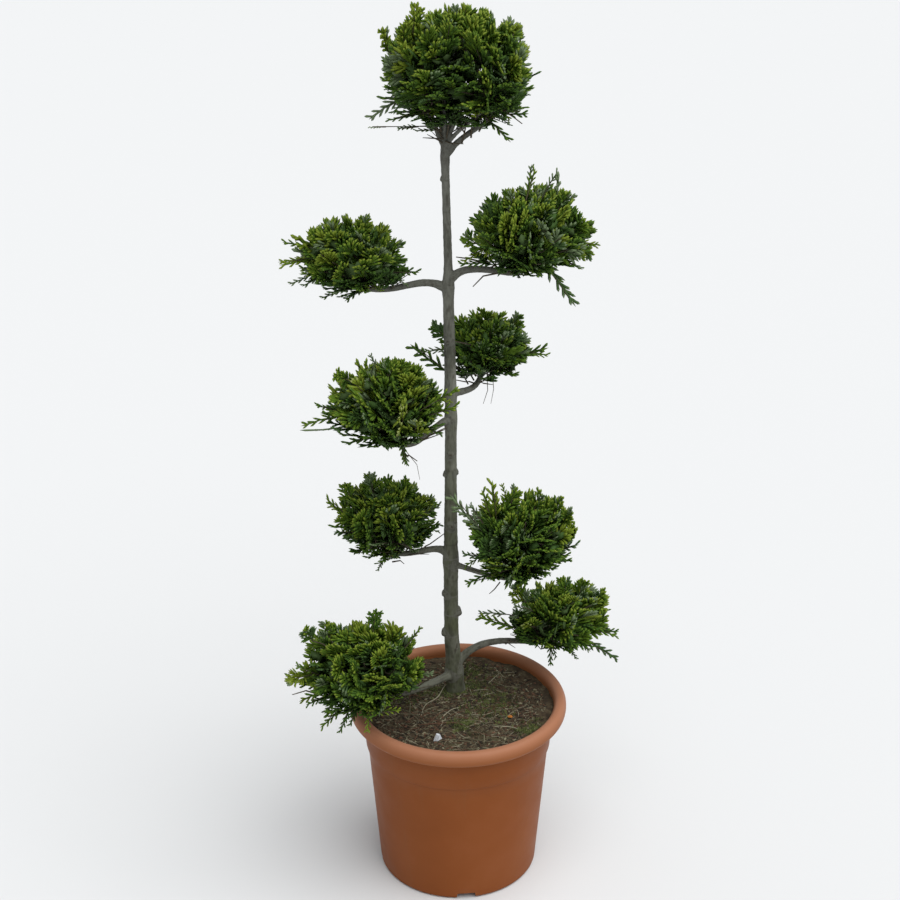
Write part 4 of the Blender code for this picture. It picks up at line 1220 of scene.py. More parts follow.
spray = {
    "variants": 6,
    "seed": 17,
    "branches": 30,  # a ball's branches hold their sprays together
    "gather": 0.24,
    "outer": 9500.0,  # fronds for each square metre of the ball's mean square radius
    "second": 6500.0,
    "inner": 16000.0,
    "flank": 6800.0,
    "hub": 16,
    "outerReach": (0.92, 1.04),
    "outerLength": (0.060, 0.082),
    "secondReach": (0.68, 0.88),
    "secondLength": (0.050, 0.066),
    "sprigs": 5,
    "tipLightness": 0.30,
    "limbMargin": 0.0035,
    "highest": 1.0,  # of the ball's radius
    "ragged": 0.045,
    "taper": 0.32,  # how far the clipped mass draws in below towards its foot
}
loose = {  # what stands out of each ball's clipped outline: kind, start, end and tone; the tone is higher for shoots on top and lower for those underneath, painted light and painted shade
    "crown": (
        ("hair", (-0.040, 0.020, 1.333), (-0.129, 0.002, 1.336), 0),
        ("hair", (-0.040, 0.020, 1.332), (-0.118, 0.003, 1.335), 0),
        ("comb", (-0.110, 0.004, 1.335), (-0.137, 0.000, 1.336), 0.62),
        ("fern", (-0.060, 0.010, 1.334), (-0.094, 0.004, 1.331), 0.30),
        ("twig", (-0.018, 0.018, 1.312), (-0.004, -0.012, 1.350), 0),
        ("twig", (0.006, 0.016, 1.306), (0.012, -0.012, 1.352), 0),
        ("twig", (0.020, 0.014, 1.316), (0.030, -0.012, 1.354), 0),
        ("twig", (-0.024, 0.016, 1.316), (-0.044, -0.008, 1.352), 0),
        ("twig", (0.032, 0.012, 1.326), (0.050, -0.010, 1.352), 0),
        ("twig", (-0.026, 0.010, 1.326), (-0.026, -0.014, 1.356), 0),
        ("twig", (0.012, 0.010, 1.322), (-0.004, -0.014, 1.348), 0),
        ("comb", (-0.050, 0.000, 1.357), (-0.110, -0.030, 1.354), 0.3),
        ("fern", (-0.028, 0.010, 1.329), (-0.066, 0.000, 1.330), 0.28),
        ("fern", (0.030, 0.000, 1.362), (0.080, -0.030, 1.320), 0.34),
        ("twig", (0.045, 0.000, 1.365), (0.097, -0.020, 1.345), 0),
        ("wand", (0.071, 0.020, 1.469), (0.096, -0.010, 1.490), 0.75),
        ("wand", (0.061, 0.040, 1.468), (0.085, 0.020, 1.490), 0.6),
        ("lobe", (-0.065, -0.010, 1.495), (-0.060, -0.010, 1.525), 0.75),
        ("lobe", (-0.003, 0.020, 1.487), (-0.001, 0.020, 1.517), 0.75),
        ("lobe", (0.030, 0.000, 1.481), (0.034, 0.000, 1.509), 0.7),
        ("lobe", (-0.080, -0.010, 1.465), (-0.081, -0.020, 1.496), 0.7),
        ("lobe", (-0.105, 0.000, 1.452), (-0.112, -0.020, 1.490), 0.75),
        ("comb", (-0.081, -0.010, 1.394), (-0.113, -0.020, 1.399), 0.35),
        ("comb", (0.071, -0.010, 1.382), (0.110, -0.020, 1.390), 0.35),
        ("fern", (0.049, 0.000, 1.359), (0.107, -0.020, 1.364), 0.25),
    ),
    "high_left": (
        ("wand", (-0.233, 0.045, 1.134), (-0.264, 0.015, 1.160), 0.72),
        ("wand", (-0.226, 0.035, 1.127), (-0.256, 0.005, 1.151), 0.66),
        ("wand", (-0.229, 0.035, 1.121), (-0.262, 0.005, 1.140), 0.6),
        ("fern", (-0.217, 0.045, 1.118), (-0.283, 0.015, 1.115), 0.66),
        ("fern", (-0.204, 0.035, 1.098), (-0.249, 0.005, 1.082), 0.46),
        ("fern", (-0.174, 0.045, 1.068), (-0.220, 0.015, 1.059), 0.3),
        ("fern", (-0.138, 0.045, 1.073), (-0.180, 0.015, 1.051), 0.3),
        ("fern", (-0.117, 0.045, 1.091), (-0.062, 0.025, 1.096), 0.4),
        ("fern", (-0.125, 0.045, 1.108), (-0.080, 0.045, 1.108), 0.36),
        ("lobe", (-0.215, 0.025, 1.142), (-0.235, 0.015, 1.171), 0.6),
        ("lobe", (-0.152, 0.045, 1.167), (-0.145, 0.045, 1.188), 0.66),
    ),
    "high_right": (
        ("fern", (0.104, -0.030, 1.230), (0.119, -0.020, 1.277), 0.62),
        ("wand", (0.153, -0.010, 1.231), (0.155, 0.000, 1.267), 0.66),
        ("lobe", (0.159, -0.010, 1.216), (0.174, -0.010, 1.240), 0.6),
        ("fern", (0.173, -0.030, 1.157), (0.219, -0.040, 1.165), 0.5),
        ("lobe", (0.183, -0.030, 1.150), (0.212, -0.040, 1.145), 0.66),
        ("wand", (0.195, -0.010, 1.167), (0.210, -0.020, 1.195), 0.55),
        ("fern", (0.132, -0.040, 1.134), (0.182, -0.070, 1.071), 0.36),
        ("fern", (0.152, -0.030, 1.138), (0.192, -0.060, 1.129), 0.36),
        ("twig", (0.062, -0.030, 1.113), (0.023, -0.040, 1.094), 0),
        ("twig", (0.038, -0.010, 1.125), (-0.003, -0.020, 1.136), 0),
        ("fern", (0.053, -0.020, 1.128), (0.000, -0.030, 1.131), 0.3),
        ("lobe", (0.025, -0.030, 1.163), (0.006, -0.040, 1.179), 0.62),
        ("fern", (0.104, -0.030, 1.131), (0.099, -0.040, 1.112), 0.3),
        ("lobe", (0.083, -0.030, 1.224), (0.078, -0.030, 1.247), 0.7),
        ("lobe", (0.124, -0.010, 1.215), (0.123, -0.010, 1.237), 0.62),
    ),
    "mid_back": (
        ("fern", (-0.018, 0.105, 0.897), (-0.076, 0.075, 0.959), 0.42),
        ("lobe", (-0.018, 0.075, 0.968), (-0.044, 0.065, 0.996), 0.5),
        ("fern", (0.071, 0.135, 0.903), (0.150, 0.105, 0.940), 0.42),
        ("hair", (0.049, 0.135, 0.885), (0.043, 0.125, 0.831), 0),
        ("hair", (0.058, 0.135, 0.885), (0.056, 0.125, 0.831), 0),
        ("twig", (0.017, 0.105, 0.875), (-0.010, 0.085, 0.919), 0),
        ("fern", (0.024, 0.112, 0.888), (-0.018, 0.085, 0.920), 0.16),
        ("fern", (0.030, 0.118, 0.884), (0.004, 0.088, 0.928), 0.16),
        ("fern", (0.034, 0.120, 0.886), (0.018, 0.088, 0.934), 0.16),
        ("fern", (0.036, 0.124, 0.884), (0.044, 0.092, 0.926), 0.16),
        ("twig", (0.027, 0.115, 0.878), (0.007, 0.095, 0.918), 0),
        ("fern", (0.051, 0.135, 0.885), (0.104, 0.105, 0.897), 0.3),
        ("lobe", (0.045, 0.135, 0.982), (0.043, 0.135, 1.001), 0.66),
        ("lobe", (0.096, 0.135, 0.975), (0.102, 0.135, 0.993), 0.6),
    ),
    "mid_front": (
        ("wand", (-0.149, -0.045, 0.944), (-0.161, -0.045, 0.978), 0.66),
        ("wand", (-0.149, -0.045, 0.947), (-0.145, -0.045, 0.979), 0.66),
        ("wand", (-0.146, -0.045, 0.951), (-0.135, -0.045, 0.968), 0.6),
        ("lobe", (-0.111, -0.045, 0.947), (-0.117, -0.045, 0.976), 0.62),
        ("lobe", (-0.108, -0.045, 0.951), (-0.096, -0.045, 0.978), 0.62),
        ("lobe", (-0.095, -0.045, 0.947), (-0.085, -0.045, 0.978), 0.6),
        ("smooth", (-0.182, -0.065, 0.868), (-0.251, -0.095, 0.877), 0.98),
        ("fern", (-0.188, -0.065, 0.894), (-0.223, -0.095, 0.918), 0.36),
        ("fern", (-0.169, -0.065, 0.873), (-0.200, -0.095, 0.901), 0.3),
        ("fern", (-0.063, -0.075, 0.898), (0.002, -0.100, 0.947), 0.6),
        ("fern", (-0.063, -0.075, 0.887), (0.000, -0.100, 0.916), 0.5),
        ("fern", (-0.069, -0.065, 0.873), (-0.024, -0.085, 0.861), 0.28),
        ("fern", (-0.090, -0.065, 0.845), (-0.083, -0.085, 0.807), 0.3),
        ("twig", (-0.083, -0.075, 0.822), (-0.065, -0.085, 0.817), 0),
        ("hair", (-0.085, -0.065, 0.828), (-0.061, -0.095, 0.789), 0),
        ("fern", (-0.116, -0.075, 0.860), (-0.178, -0.105, 0.855), 0.26),
        ("lobe", (-0.183, -0.065, 0.952), (-0.195, -0.085, 0.966), 0.66),
        ("fern", (-0.053, -0.045, 0.903), (-0.040, -0.045, 0.932), 0.5),
    ),
    "low_left": (
        ("fern", (-0.181, 0.050, 0.644), (-0.220, 0.020, 0.707), 0.6),
        ("fern", (-0.164, 0.040, 0.626), (-0.209, 0.010, 0.646), 0.34),
        ("fern", (-0.141, 0.040, 0.599), (-0.180, 0.010, 0.605), 0.26),
        ("fern", (-0.124, 0.040, 0.584), (-0.140, 0.020, 0.565), 0.3),
        ("lobe", (-0.095, 0.060, 0.692), (-0.083, 0.060, 0.722), 0.55),
        ("fern", (-0.079, 0.060, 0.643), (-0.029, 0.060, 0.671), 0.5),
        ("fern", (-0.083, 0.060, 0.623), (-0.029, 0.060, 0.639), 0.34),
        ("fern", (-0.086, 0.060, 0.604), (-0.045, 0.060, 0.610), 0.26),
        ("lobe", (-0.146, 0.060, 0.703), (-0.151, 0.060, 0.735), 0.66),
        ("lobe", (-0.183, 0.040, 0.697), (-0.191, 0.030, 0.728), 0.66),
        ("twig", (-0.114, 0.060, 0.562), (-0.093, 0.050, 0.563), 0),
    ),
    "low_right": (
        ("fern", (0.064, -0.040, 0.684), (0.057, -0.050, 0.766), 0.66),
        ("fern", (0.056, -0.040, 0.691), (0.037, -0.060, 0.753), 0.6),
        ("fern", (0.040, -0.050, 0.674), (-0.010, -0.070, 0.754), 0.68),
        ("fern", (0.043, -0.050, 0.688), (0.018, -0.070, 0.732), 0.5),
        ("lobe", (0.169, -0.030, 0.682), (0.190, -0.050, 0.710), 0.66),
        ("lobe", (0.180, -0.030, 0.657), (0.197, -0.060, 0.686), 0.6),
        ("fern", (0.145, -0.030, 0.621), (0.198, -0.060, 0.655), 0.4),
        ("fern", (0.137, -0.030, 0.602), (0.189, -0.060, 0.627), 0.3),
        ("fern", (0.067, -0.050, 0.600), (0.013, -0.080, 0.589), 0.36),
        ("twig", (0.070, -0.060, 0.586), (0.052, -0.070, 0.569), 0),
        ("fern", (0.053, -0.050, 0.626), (0.007, -0.070, 0.647), 0.3),
        ("lobe", (0.130, -0.030, 0.719), (0.136, -0.030, 0.744), 0.66),
        ("lobe", (0.089, -0.030, 0.723), (0.097, -0.030, 0.748), 0.66),
        ("lobe", (0.162, -0.030, 0.708), (0.168, -0.030, 0.732), 0.6),
    ),
    "rim_right": (
        ("fern", (0.102, 0.060, 0.431), (0.035, 0.030, 0.476), 0.5),
        ("lobe", (0.122, 0.080, 0.468), (0.094, 0.060, 0.519), 0.8),
        ("fern", (0.225, 0.060, 0.407), (0.280, 0.020, 0.388), 0.34),
        ("fern", (0.233, 0.060, 0.423), (0.282, 0.040, 0.434), 0.4),
        ("fern", (0.165, 0.060, 0.407), (0.166, 0.030, 0.370), 0.3),
        ("fern", (0.189, 0.060, 0.403), (0.209, 0.030, 0.384), 0.3),
        ("fern", (0.135, 0.060, 0.463), (0.097, 0.030, 0.497), 0.55),
        ("lobe", (0.243, 0.080, 0.476), (0.260, 0.070, 0.498), 0.6),
        ("lobe", (0.190, 0.080, 0.496), (0.184, 0.080, 0.526), 0.62),
        ("lobe", (0.215, 0.080, 0.492), (0.219, 0.080, 0.522), 0.62),
        ("fern", (0.166, 0.060, 0.407), (0.108, 0.030, 0.424), 0.26),
    ),
    "rim_left": (
        ("lobe", (-0.256, -0.095, 0.426), (-0.290, -0.125, 0.435), 0.85),
        ("twig", (-0.237, -0.095, 0.391), (-0.277, -0.125, 0.408), 0),
        ("fern", (-0.229, -0.095, 0.426), (-0.269, -0.125, 0.463), 0.45),
        ("fern", (-0.193, -0.105, 0.374), (-0.233, -0.135, 0.351), 0.55),
        ("fern", (-0.183, -0.105, 0.370), (-0.202, -0.135, 0.339), 0.34),
        ("fern", (-0.165, -0.105, 0.378), (-0.185, -0.135, 0.353), 0.3),
        ("fern", (-0.144, -0.125, 0.390), (-0.150, -0.155, 0.350), 0.7),
        ("fern", (-0.144, -0.125, 0.374), (-0.095, -0.145, 0.389), 0.66),
        ("fern", (-0.090, -0.075, 0.414), (-0.040, -0.095, 0.436), 0.6),
        ("fern", (-0.089, -0.075, 0.469), (-0.060, -0.075, 0.509), 0.5),
        ("lobe", (-0.243, -0.095, 0.496), (-0.254, -0.115, 0.530), 0.55),
        ("lobe", (-0.217, -0.085, 0.501), (-0.220, -0.095, 0.534), 0.7),
        ("lobe", (-0.140, -0.075, 0.519), (-0.137, -0.075, 0.545), 0.5),
        ("fern", (-0.216, -0.105, 0.397), (-0.254, -0.135, 0.396), 0.3),
    ),
}


# One blunt finger, three-sided: a base, a belly and a tip.
def addFinger(shell, root, heading, normal, length, width, belly=0.56, light=(0.0, 0.50, 1.0)):
    points, faces, tipness = shell
    heading = heading.normalized()
    normal = (normal - heading * normal.dot(heading)).normalized()
    across = normal.cross(heading)
    first = len(points)
    for share, wide in ((0.0, 0.72), (belly, 1.0)):
        place = root + heading * length * share
        for angle in (90.0, 210.0, 330.0):
            a = math.radians(angle)
            points.append(place + (across * math.cos(a) + normal * math.sin(a) * 0.7) * width * wide)
    points.append(root + heading * length)
    faces.append((first + 2, first + 1, first))
    tipness.append(light[0])
    for k in range(3):
        after = (k + 1) % 3
        faces.append((first + k, first + after, first + 3 + after, first + 3 + k))
        tipness.append(light[1])
        faces.append((first + 3 + k, first + 3 + after, first + 6))
        tipness.append(light[2])


def sprayTemplate(chance, fingers, reach, width, first, last, angle, shorten, droop=0.0):
    shell = ([], [], [])
    normal = up.copy()
    bow = chance.uniform(-0.08, 0.08)

    def spine(t):
        return Vector((t, bow * math.sin(2.4 * t), -droop * t * t))

    middle = spine(0.5)
    addFinger(shell, spine(0.0), middle - spine(0.0), normal, (middle - spine(0.0)).length * 1.1, width * 0.85, 0.9, (0.0, 0.0, 0.0))
    addFinger(shell, middle, spine(1.0) - middle, normal, (spine(1.0) - middle).length, width * 0.95, 0.74, (0.0, 0.35, 1.0))
    side = chance.choice((-1.0, 1.0))
    for k in range(fingers):
        t = first + (last - first) * k / (fingers - 1) + chance.uniform(-0.03, 0.03)
        lean = math.radians(chance.uniform(*angle)) * side
        head = Vector((math.cos(lean), math.sin(lean), chance.uniform(-0.16, 0.20)))
        length = reach * (1.0 - shorten * t) * chance.uniform(0.84, 1.10)
        addFinger(shell, spine(t), head, normal + randomVector(chance, 0.25), length, width, chance.uniform(0.66, 0.80))
        side = -side
    return shell


def bladeTemplate(chance):
    # a coarse dark blade for the inside: five blunt teeth on one flat double cone
    outline = [(0.0, 0.05), (0.22, 0.30), (0.34, 0.12), (0.52, 0.30), (0.62, 0.12), (0.80, 0.20), (1.0, 0.0)]
    rim = [Vector((x, y * chance.uniform(0.8, 1.2), 0.0)) for x, y in outline]
    rim += [Vector((x, -y * chance.uniform(0.8, 1.2), 0.0)) for x, y in reversed(outline[:-1])]
    points = rim + [Vector((0.5, 0.0, 0.05)), Vector((0.5, 0.0, -0.05))]
    count = len(rim)
    faces = []
    for k in range(count):
        after = (k + 1) % count
        faces.append((after, k, count))
        faces.append((k, after, count + 1))
    return points, faces, [0.0] * len(faces)


def sprayTemplates():
    chance = random.Random(spray["seed"])
    shells = []
    for _ in range(spray["variants"]):  # fan with a round lobed end
        shells.append(sprayTemplate(chance, 5, 0.76, 0.078, 0.10, 0.50, (16.0, 36.0), 0.72))
    for _ in range(spray["variants"]):  # bud
        shells.append(sprayTemplate(chance, 3, 0.70, 0.112, 0.12, 0.45, (20.0, 36.0), 0.70))
    for _ in range(spray["variants"]):  # fern
        shells.append(sprayTemplate(chance, 9, 0.29, 0.034, 0.08, 0.86, (24.0, 38.0), 0.40, 0.04))
    for _ in range(spray["variants"]):  # blade
        shells.append(bladeTemplate(chance))
    for _ in range(spray["variants"]):  # wand
        shells.append(sprayTemplate(chance, 3, 0.30, 0.080, 0.15, 0.60, (20.0, 32.0), 0.30))
    for _ in range(spray["variants"]):  # smooth
        shells.append(sprayTemplate(chance, 2, 0.10, 0.034, 0.30, 0.60, (8.0, 14.0), 0.30))
    for _ in range(spray["variants"]):  # comb
        shells.append(sprayTemplate(chance, 9, 0.19, 0.024, 0.25, 0.88, (22.0, 36.0), 0.30, 0.02))
    group = templateCollection("sprayTemplate", shells)
    for obj in group.objects:
        obj.data.shade_smooth()
    return group


def limbField():
    # every limb as closely set points and radii, to keep sprays clear of
    rows = []
    for name in boughs:
        line, radii = boughLine(name, 26)
        rows += [(*point, radius) for point, radius in zip(line, radii)]
    line, radii = trunkLine()
    for k in range(len(line) - 1):
        for t in (0.0, 0.5):
            rows.append((*line[k].lerp(line[k + 1], t), radii[k]))
    return np.array(rows)


limbRows = limbField()


def clearOfLimbs(points, margin):
    places = np.array([tuple(point) for point in points])
    clear = np.ones(len(places), bool)
    for first in range(0, len(places), 4000):
        part = places[first : first + 4000]
        gaps = np.sqrt(((part[:, None, :] - limbRows[None, :, :3]) ** 2).sum(2)) - limbRows[None, :, 3]
        clear[first : first + 4000] = gaps.min(1) > margin
    across = np.hypot(places[:, 0], places[:, 1])
    overPot = (places[:, 2] > pot["height"] + margin) | (across > pot["rimRadius"] + margin)
    return clear & overPot


# the tone ladder turns the painted shade and painted light in each tone into colours: darker inside and low, lighter
# out and high. needlesInner and needlesDeep are made paler than shade inside a ball looks: painted light lifting that
# shade
needleColours = (  # the value above which a face takes it, its name, its colour and its gloss
    (-9.0, "needlesInner", (0.054, 0.088, 0.030), 0.04),
    (0.16, "needlesDeep", (0.046, 0.090, 0.022), 0.06),
    (0.38, "needlesLeaf", (0.050, 0.102, 0.015), 0.08),
    (0.58, "needlesBright", (0.084, 0.146, 0.014), 0.10),
    (0.78, "needlesTip", (0.158, 0.212, 0.020), 0.14),
    (1.08, "needlesPale", (0.250, 0.285, 0.090), 0.22),
)
# the bluer green is the foliage's own colour; the grey shade above it is a painted sheen, grey glints standing for the
# sky's reflection on bright tips
hueAndSheenColours = (
    (0.30, "needlesBlue", (0.054, 0.100, 0.030), 0.12),
    (0.64, "needlesGrey", (0.128, 0.176, 0.084), 0.22),
)


def growBall(name, ball, tree, group, twigTree, twigMaterial):
    chance = random.Random(ball["seed"] + 1000)
    centre = Vector(ball["centre"])
    width, depth, rise, drop = ball["size"]
    height = (rise + drop) / 2
    meanSquare = (width * depth + width * height + depth * height) / 3
    feet = feetOf(name)
    stems = [stemLine(ball, foot, heading, evenShares(9)) for foot, heading, _ in feet]
    shoots = shootsOf(name, ball)
    seats, twigs = [], []

    inward = trunkAt(centre.z)[0] - centre
    inward = (inward - up * inward.z).normalized() if name != "crown" else Vector()

    def shareOf(point):
        offset = point - centre
        return offset.length / ballRadius(ball, offset.normalized())

    # a frond's tone rises with how far out its tip lies and how high it stands: painted shade inside the ball and
    # painted light on its top, with a random spread
    def toneOf(tip, shadeOffset=0.0):
        share = shareOf(tip)
        high = (tip.z - centre.z) / height
        return 0.04 + 0.44 * min(max((share - 0.50) / 0.50, 0.0), 1.1) + 0.14 * high + chance.gauss(0.0, 0.07) + shadeOffset

    def reachOf(direction):
        below = min(max((-direction.z - 0.08) / 0.75, 0.0), 1.0)
        level = math.sqrt(max(1.0 - direction.z ** 2, 0.0))
        return ballRadius(ball, direction) * (1.0 - spray["taper"] * below * level)

    def addSprig(place, heading, face, size, tone, hue, kind=None, free=False):
        heading = heading.normalized()
        if kind is None:
            kind = 0 if size > 0.026 else 1
        if not free:  # clipped to the ball
            tip = place + heading * size
            share = shareOf(tip)
            highest = spray["highest"] + chance.uniform(-1.0, 1.0) * spray["ragged"]
            if share > highest:
                place = place - (tip - centre) * (1.0 - highest / share)
        seats.append((place, heading, face.normalized(), size, tone, hue, kind))

    # the main limbs, one for each shoot of the source's rule
    limbEnds = []
    for kind, source, root, tip, direction, face in shoots:
        stem = min(stems, key=lambda line: (line[-1] - tip).length)
        early = min(max((direction.z + 0.75) / 2.0, 0.04), 0.9)
        start = stem[1 + int(early * (len(stem) - 2))]
        if kind == "clipped":
            end = root.lerp(tip, 0.52)
            rising = (direction * 0.5 + up * 0.8).normalized()
            line = bezier(start, start + rising * (end - start).length * 0.35, root.lerp(end, 0.2), end, evenShares(6))
            girths = [0.0026 - 0.0017 * t for t in evenShares(6)]
        else:
            bend = (root - start).length * 0.3
            line = bezier(start, start.lerp(root, 0.3) + up * bend * 0.25, root - (tip - root) * 0.3, root, evenShares(5)) + [root.lerp(tip, 0.5)]
            girths = [0.0019 - 0.0012 * t for t in evenShares(6)]
        twigs.append((line, girths))
        limbEnds.append((line, tip))

    # the skirt and the shoots that escaped the shears: flat ferny fronds
    for kind, source, root, tip, direction, face in shoots:
        if kind == "clipped":
            continue
        heading = tip - root
        tone = chance.uniform(0.42, 0.72)
        hue = 1.0 if chance.random() < 0.25 else 0.0
        addSprig(root, heading, face, heading.length, tone, hue, 2, True)
        across = face.cross(heading).normalized()
        line = twigs[[end for _, end in limbEnds].index(tip)][0]
        for k in range(4):
            t = 0.30 + 0.18 * k
            place = source.lerp(root, t * 1.05) if kind == "skirt" else line[2].lerp(root, t)
            side = across * (1.0 if k % 2 else -1.0)
            head = heading.normalized() * 0.75 + side * 0.66 + randomVector(chance, 0.12)
            size = chance.uniform(0.016, 0.026)
            addSprig(place, head, face + randomVector(chance, 0.3), size, tone - 0.05 + chance.gauss(0, 0.08), hue, 1)

    def addFrond(tip, heading, length, face, tone, hue, start=None, free=False):
        base = tip - heading * length
        face = (face - heading * face.dot(heading)).normalized()
        across = face.cross(heading)
        if start is None:
            line = min(limbEnds, key=lambda pair: (pair[0][-1] - base).length)[0]
            start = line[-1 if chance.random() < 0.4 else -2]
        bend = start.lerp(base, 0.55) + randomVector(chance, 0.004)
        twigs.append(([start, bend, base, base.lerp(tip, 0.42), base.lerp(tip, 0.80)], [0.0013, 0.0012, 0.0011, 0.0009, 0.0005]))
        side = chance.choice((-1.0, 1.0))
        for k in range(spray["sprigs"]):
            t = 0.02 + 0.60 * k / (spray["sprigs"] - 1) + chance.uniform(-0.03, 0.03)
            lean = math.radians(chance.uniform(20.0, 38.0))
            head = heading * math.cos(lean) + across * side * math.sin(lean) + face * chance.uniform(-0.14, 0.14)
            size = length * (0.60 - 0.24 * t) * chance.uniform(0.86, 1.12)
            own = 1.0 if chance.random() < hue else 0.0
            # sprigs near the frond's base are painted up to 0.08 darker: painted shade, as they lie deeper in the ball
            addSprig(base + heading * length * t, head, face + randomVector(chance, 0.25), size, tone + chance.gauss(0.0, 0.06) - 0.08 * (1.0 - t), own, None, free)
            side = -side
        addSprig(base + heading * length * 0.50, heading, face, length * 0.50, tone + 0.04, 1.0 if chance.random() < hue else 0.0, None, free)

    # single shoots that stand out where the photograph shows them
    for kind, start, end, tone in loose[name]:
        start, end = Vector(start), Vector(end)
        way = end - start
        face = Vector((0.0, -0.7, 0.8)) + randomVector(chance, 0.3)
        if kind in ("twig", "hair"):
            girth = 0.0016 if kind == "twig" else 0.0008
            sag = randomVector(chance, 0.004) + (up if kind == "twig" else Vector((1.0, 0.0, 0.0))) * way.length * 0.10
            twigs.append(([start, start.lerp(end, 0.5) + sag, end], [girth, girth * 0.8, girth * 0.5]))
            continue
        if kind == "lobe":
            addFrond(end, way.normalized(), max(way.length, 0.046), face, tone - 0.08, 0.15, None, True)
            continue
        number = {"fern": 2, "wand": 4, "smooth": 5, "comb": 6}[kind]
        addSprig(start, way, face, way.length, tone, 1.0 if chance.random() < 0.2 else 0.0, number, True)
        if kind in ("fern", "comb"):
            twigs.append(([start, start.lerp(end, 0.4), start.lerp(end, 0.75)], [0.0012, 0.0010, 0.0005]))

    # fine fronds over the whole ball, in an outer and a second layer, all spreading from the ball's foot
    hubs = [line[2] for line in stems]
    branches = []
    for direction in directions(spray["branches"], chance):
        hue = chance.choice((0.03, 0.06, 0.10, 0.30))
        branches.append((direction, chance.gauss(0.0, 0.055), chance.gauss(0.0, 0.045), hue, randomVector(chance)))

    # the second layer is painted 0.08 darker than the outer one: painted shade for lying deeper
    layers = (
        (int(spray["outer"] * meanSquare), spray["outerReach"], spray["outerLength"], 0.0),
        (int(spray["second"] * meanSquare), spray["secondReach"], spray["secondLength"], -0.08),
    )
    for number, (count, reaches, lengths, deeperLayerShade) in enumerate(layers):
        for direction in directions(count, chance):
            branch, paler, further, hue, aspect = max(branches, key=lambda row: row[0].dot(direction))
            pulled = (direction + branch * spray["gather"]).normalized()
            reach = chance.uniform(*reaches) * (1.0 + further)
            length = chance.uniform(*lengths)
            tip = centre + pulled * reachOf(pulled) * reach
            hub = min(hubs, key=lambda place: (place - tip).length)
            heading = ((tip - hub).normalized() * 0.75 + branch * 0.25 + randomVector(chance, 0.16)).normalized()
            length = min(length, (tip - hub).length * 0.85)
            if direction.z < -0.15 and chance.random() < (0.60, 0.80)[number]:
                continue
            if direction.z < 0.08 and direction.dot(inward) > 0.40 and chance.random() < 0.75:
                continue  # the bough shows under the ball on the trunk's side
            flat = min(max((0.50 - heading.z) / 0.5, 0.0), 1.0)  # low sprays lie flat, high ones stand any way
            standing = heading.cross(aspect + randomVector(chance, 0.35)).normalized()
            face = standing * (1.0 - flat) + (up + randomVector(chance, 0.35)) * flat
            addFrond(tip, heading, length, face, toneOf(tip, deeperLayerShade) + paler, hue)

    # ferny fronds that stand out level from the lower flanks, with sky between them
    for direction in directions(int(spray["flank"] * meanSquare * 2.0), chance):
        if not -0.85 < direction.z < 0.05 or direction.dot(inward) > 0.55:
            continue
        tip = centre + direction * ballRadius(ball, direction) * chance.uniform(0.96, 1.07)
        hub = min(hubs, key=lambda place: (place - tip).length)
        heading = ((tip - hub) * Vector((1.0, 1.0, 0.6))).normalized() + randomVector(chance, 0.14)
        heading.normalize()
        length = min(chance.uniform(0.062, 0.088), (tip - hub).length * 0.9)
        root = tip - heading * length
        # painted 0.08 darker: painted shade on the ball's lower flanks
        tone = toneOf(tip, -0.08)
        addSprig(root, heading, up + randomVector(chance, 0.4), length, tone, 1.0 if chance.random() < 0.15 else 0.0, 2, True)
        twigs.append(([hub.lerp(root, 0.3), root, root.lerp(tip, 0.5)], [0.0013, 0.0011, 0.0007]))

    # low sprays that leave the bough's end and the stem near the foot, and fill the fork; they take low tones, painted
    # shade low inside the ball
    for k in range(spray["hub"] * len(stems)):
        which = k % len(stems)
        if chance.random() < 0.45 and (name in boughs or which == 1):
            line = boughLine(name if name in boughs else name + "_fork", 26)[0]
            start = line[chance.randrange(19, 26)]
        elif name == "crown" and which == 0 and chance.random() < 0.55:
            start = trunkAt(chance.uniform(1.300, 1.334))[0]
        else:
            start = stems[which][1].lerp(stems[which][4], chance.random())
        heading = towards(chance.uniform(0, 360), chance.uniform(8, 46))
        length = chance.uniform(0.040, 0.056)
        tip = start + heading * (length + chance.uniform(0.010, 0.026))
        addFrond(tip, heading, length, up + randomVector(chance, 0.4), chance.uniform(0.02, 0.28), 0.05, start)

    # coarse blades deep inside, in the lowest tones; their colours are made paler than the shaded inside of a ball,
    # painted light that lifts that shade
    for direction in directions(int(spray["inner"] * meanSquare), chance):
        if direction.z < -0.15 and chance.random() < 0.35:
            continue
        reach = chance.uniform(0.50, 0.90)
        tip = centre + direction * reachOf(direction) * reach
        heading = (direction + up * 0.3 + randomVector(chance, 0.7)).normalized()
        length = chance.uniform(0.030, 0.044)
        addSprig(tip - heading * length, heading, heading.cross(randomVector(chance)), length, chance.uniform(-0.1, 0.34), 0.0, 3)

    # nothing touches a limb or the pot
    checked = []
    for share in (0.25, 0.6, 1.0):
        checked.append(clearOfLimbs([seat[0] + seat[1] * seat[3] * share for seat in seats], spray["limbMargin"]))
    clear = checked[0] & checked[1] & checked[2]
    kept = [seat for seat, good in zip(seats, clear) if good]

    twigObject = linesObject(name + "_twigs", twigs)
    runTree(twigObject, twigTree, {"Sides": 4, "Girth": 1.0, "Finish": twigMaterial})
    finishPiece(twigObject, "bark", name + "_foliage")
    obj = seatsObject(name + "_sprays", kept)
    runTree(obj, tree, {"Templates": group, "Variants": spray["variants"], "Seed": ball["seed"], "Size": 1.0, "Tip lightness": spray["tipLightness"]})
    finishPiece(obj, "needles", name + "_foliage")


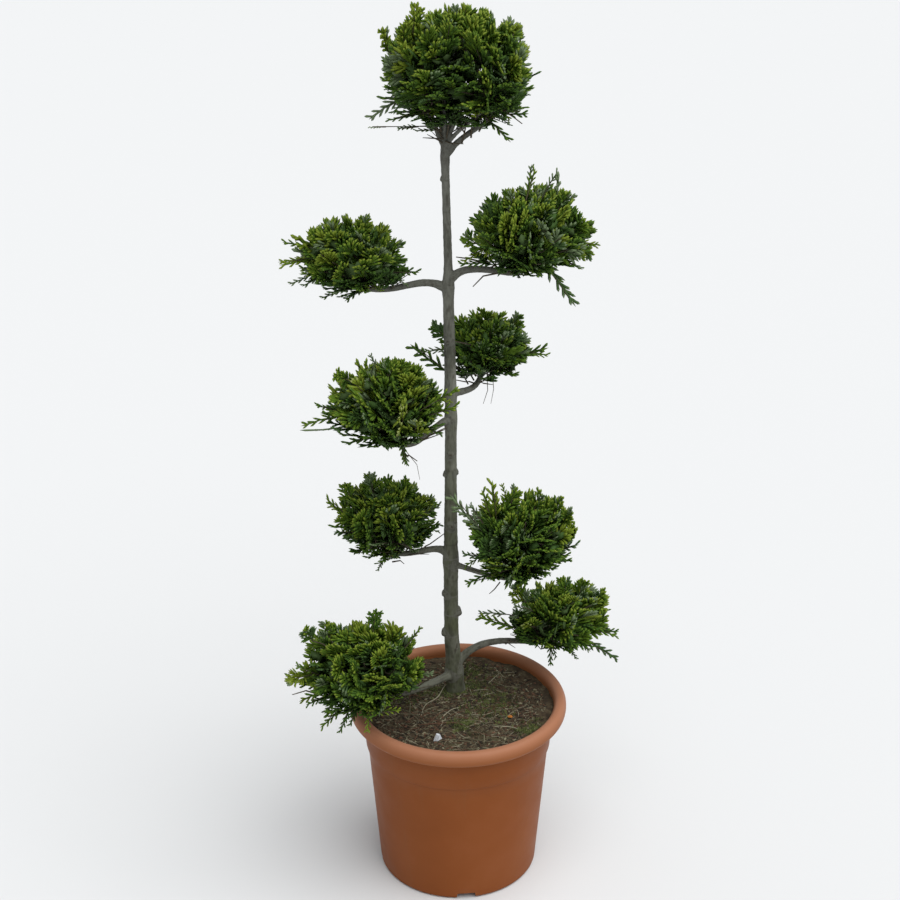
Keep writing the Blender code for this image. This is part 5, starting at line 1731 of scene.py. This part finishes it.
def growBalls():
    shades = [(level, plainMaterial(name, colour, 0.50, gloss)) for level, name, colour, gloss in needleColours]
    hueAndSheenShades = [(level, plainMaterial(name, colour, 0.50, gloss)) for level, name, colour, gloss in hueAndSheenColours]
    tree = instanceTree("growSprays", shades, hueAndSheenShades)
    twigTree = tubeTree("growTwigs")
    twigMaterial = plainMaterial("twigBark", (0.070, 0.056, 0.036), 0.75, 0.3)
    group = sprayTemplates()
    for name, ball in balls.items():
        ball["bulges"] = bulges.get(name, ())
        growBall(name, ball, tree, group, twigTree, twigMaterial)


growBalls()
print("foliage grown")
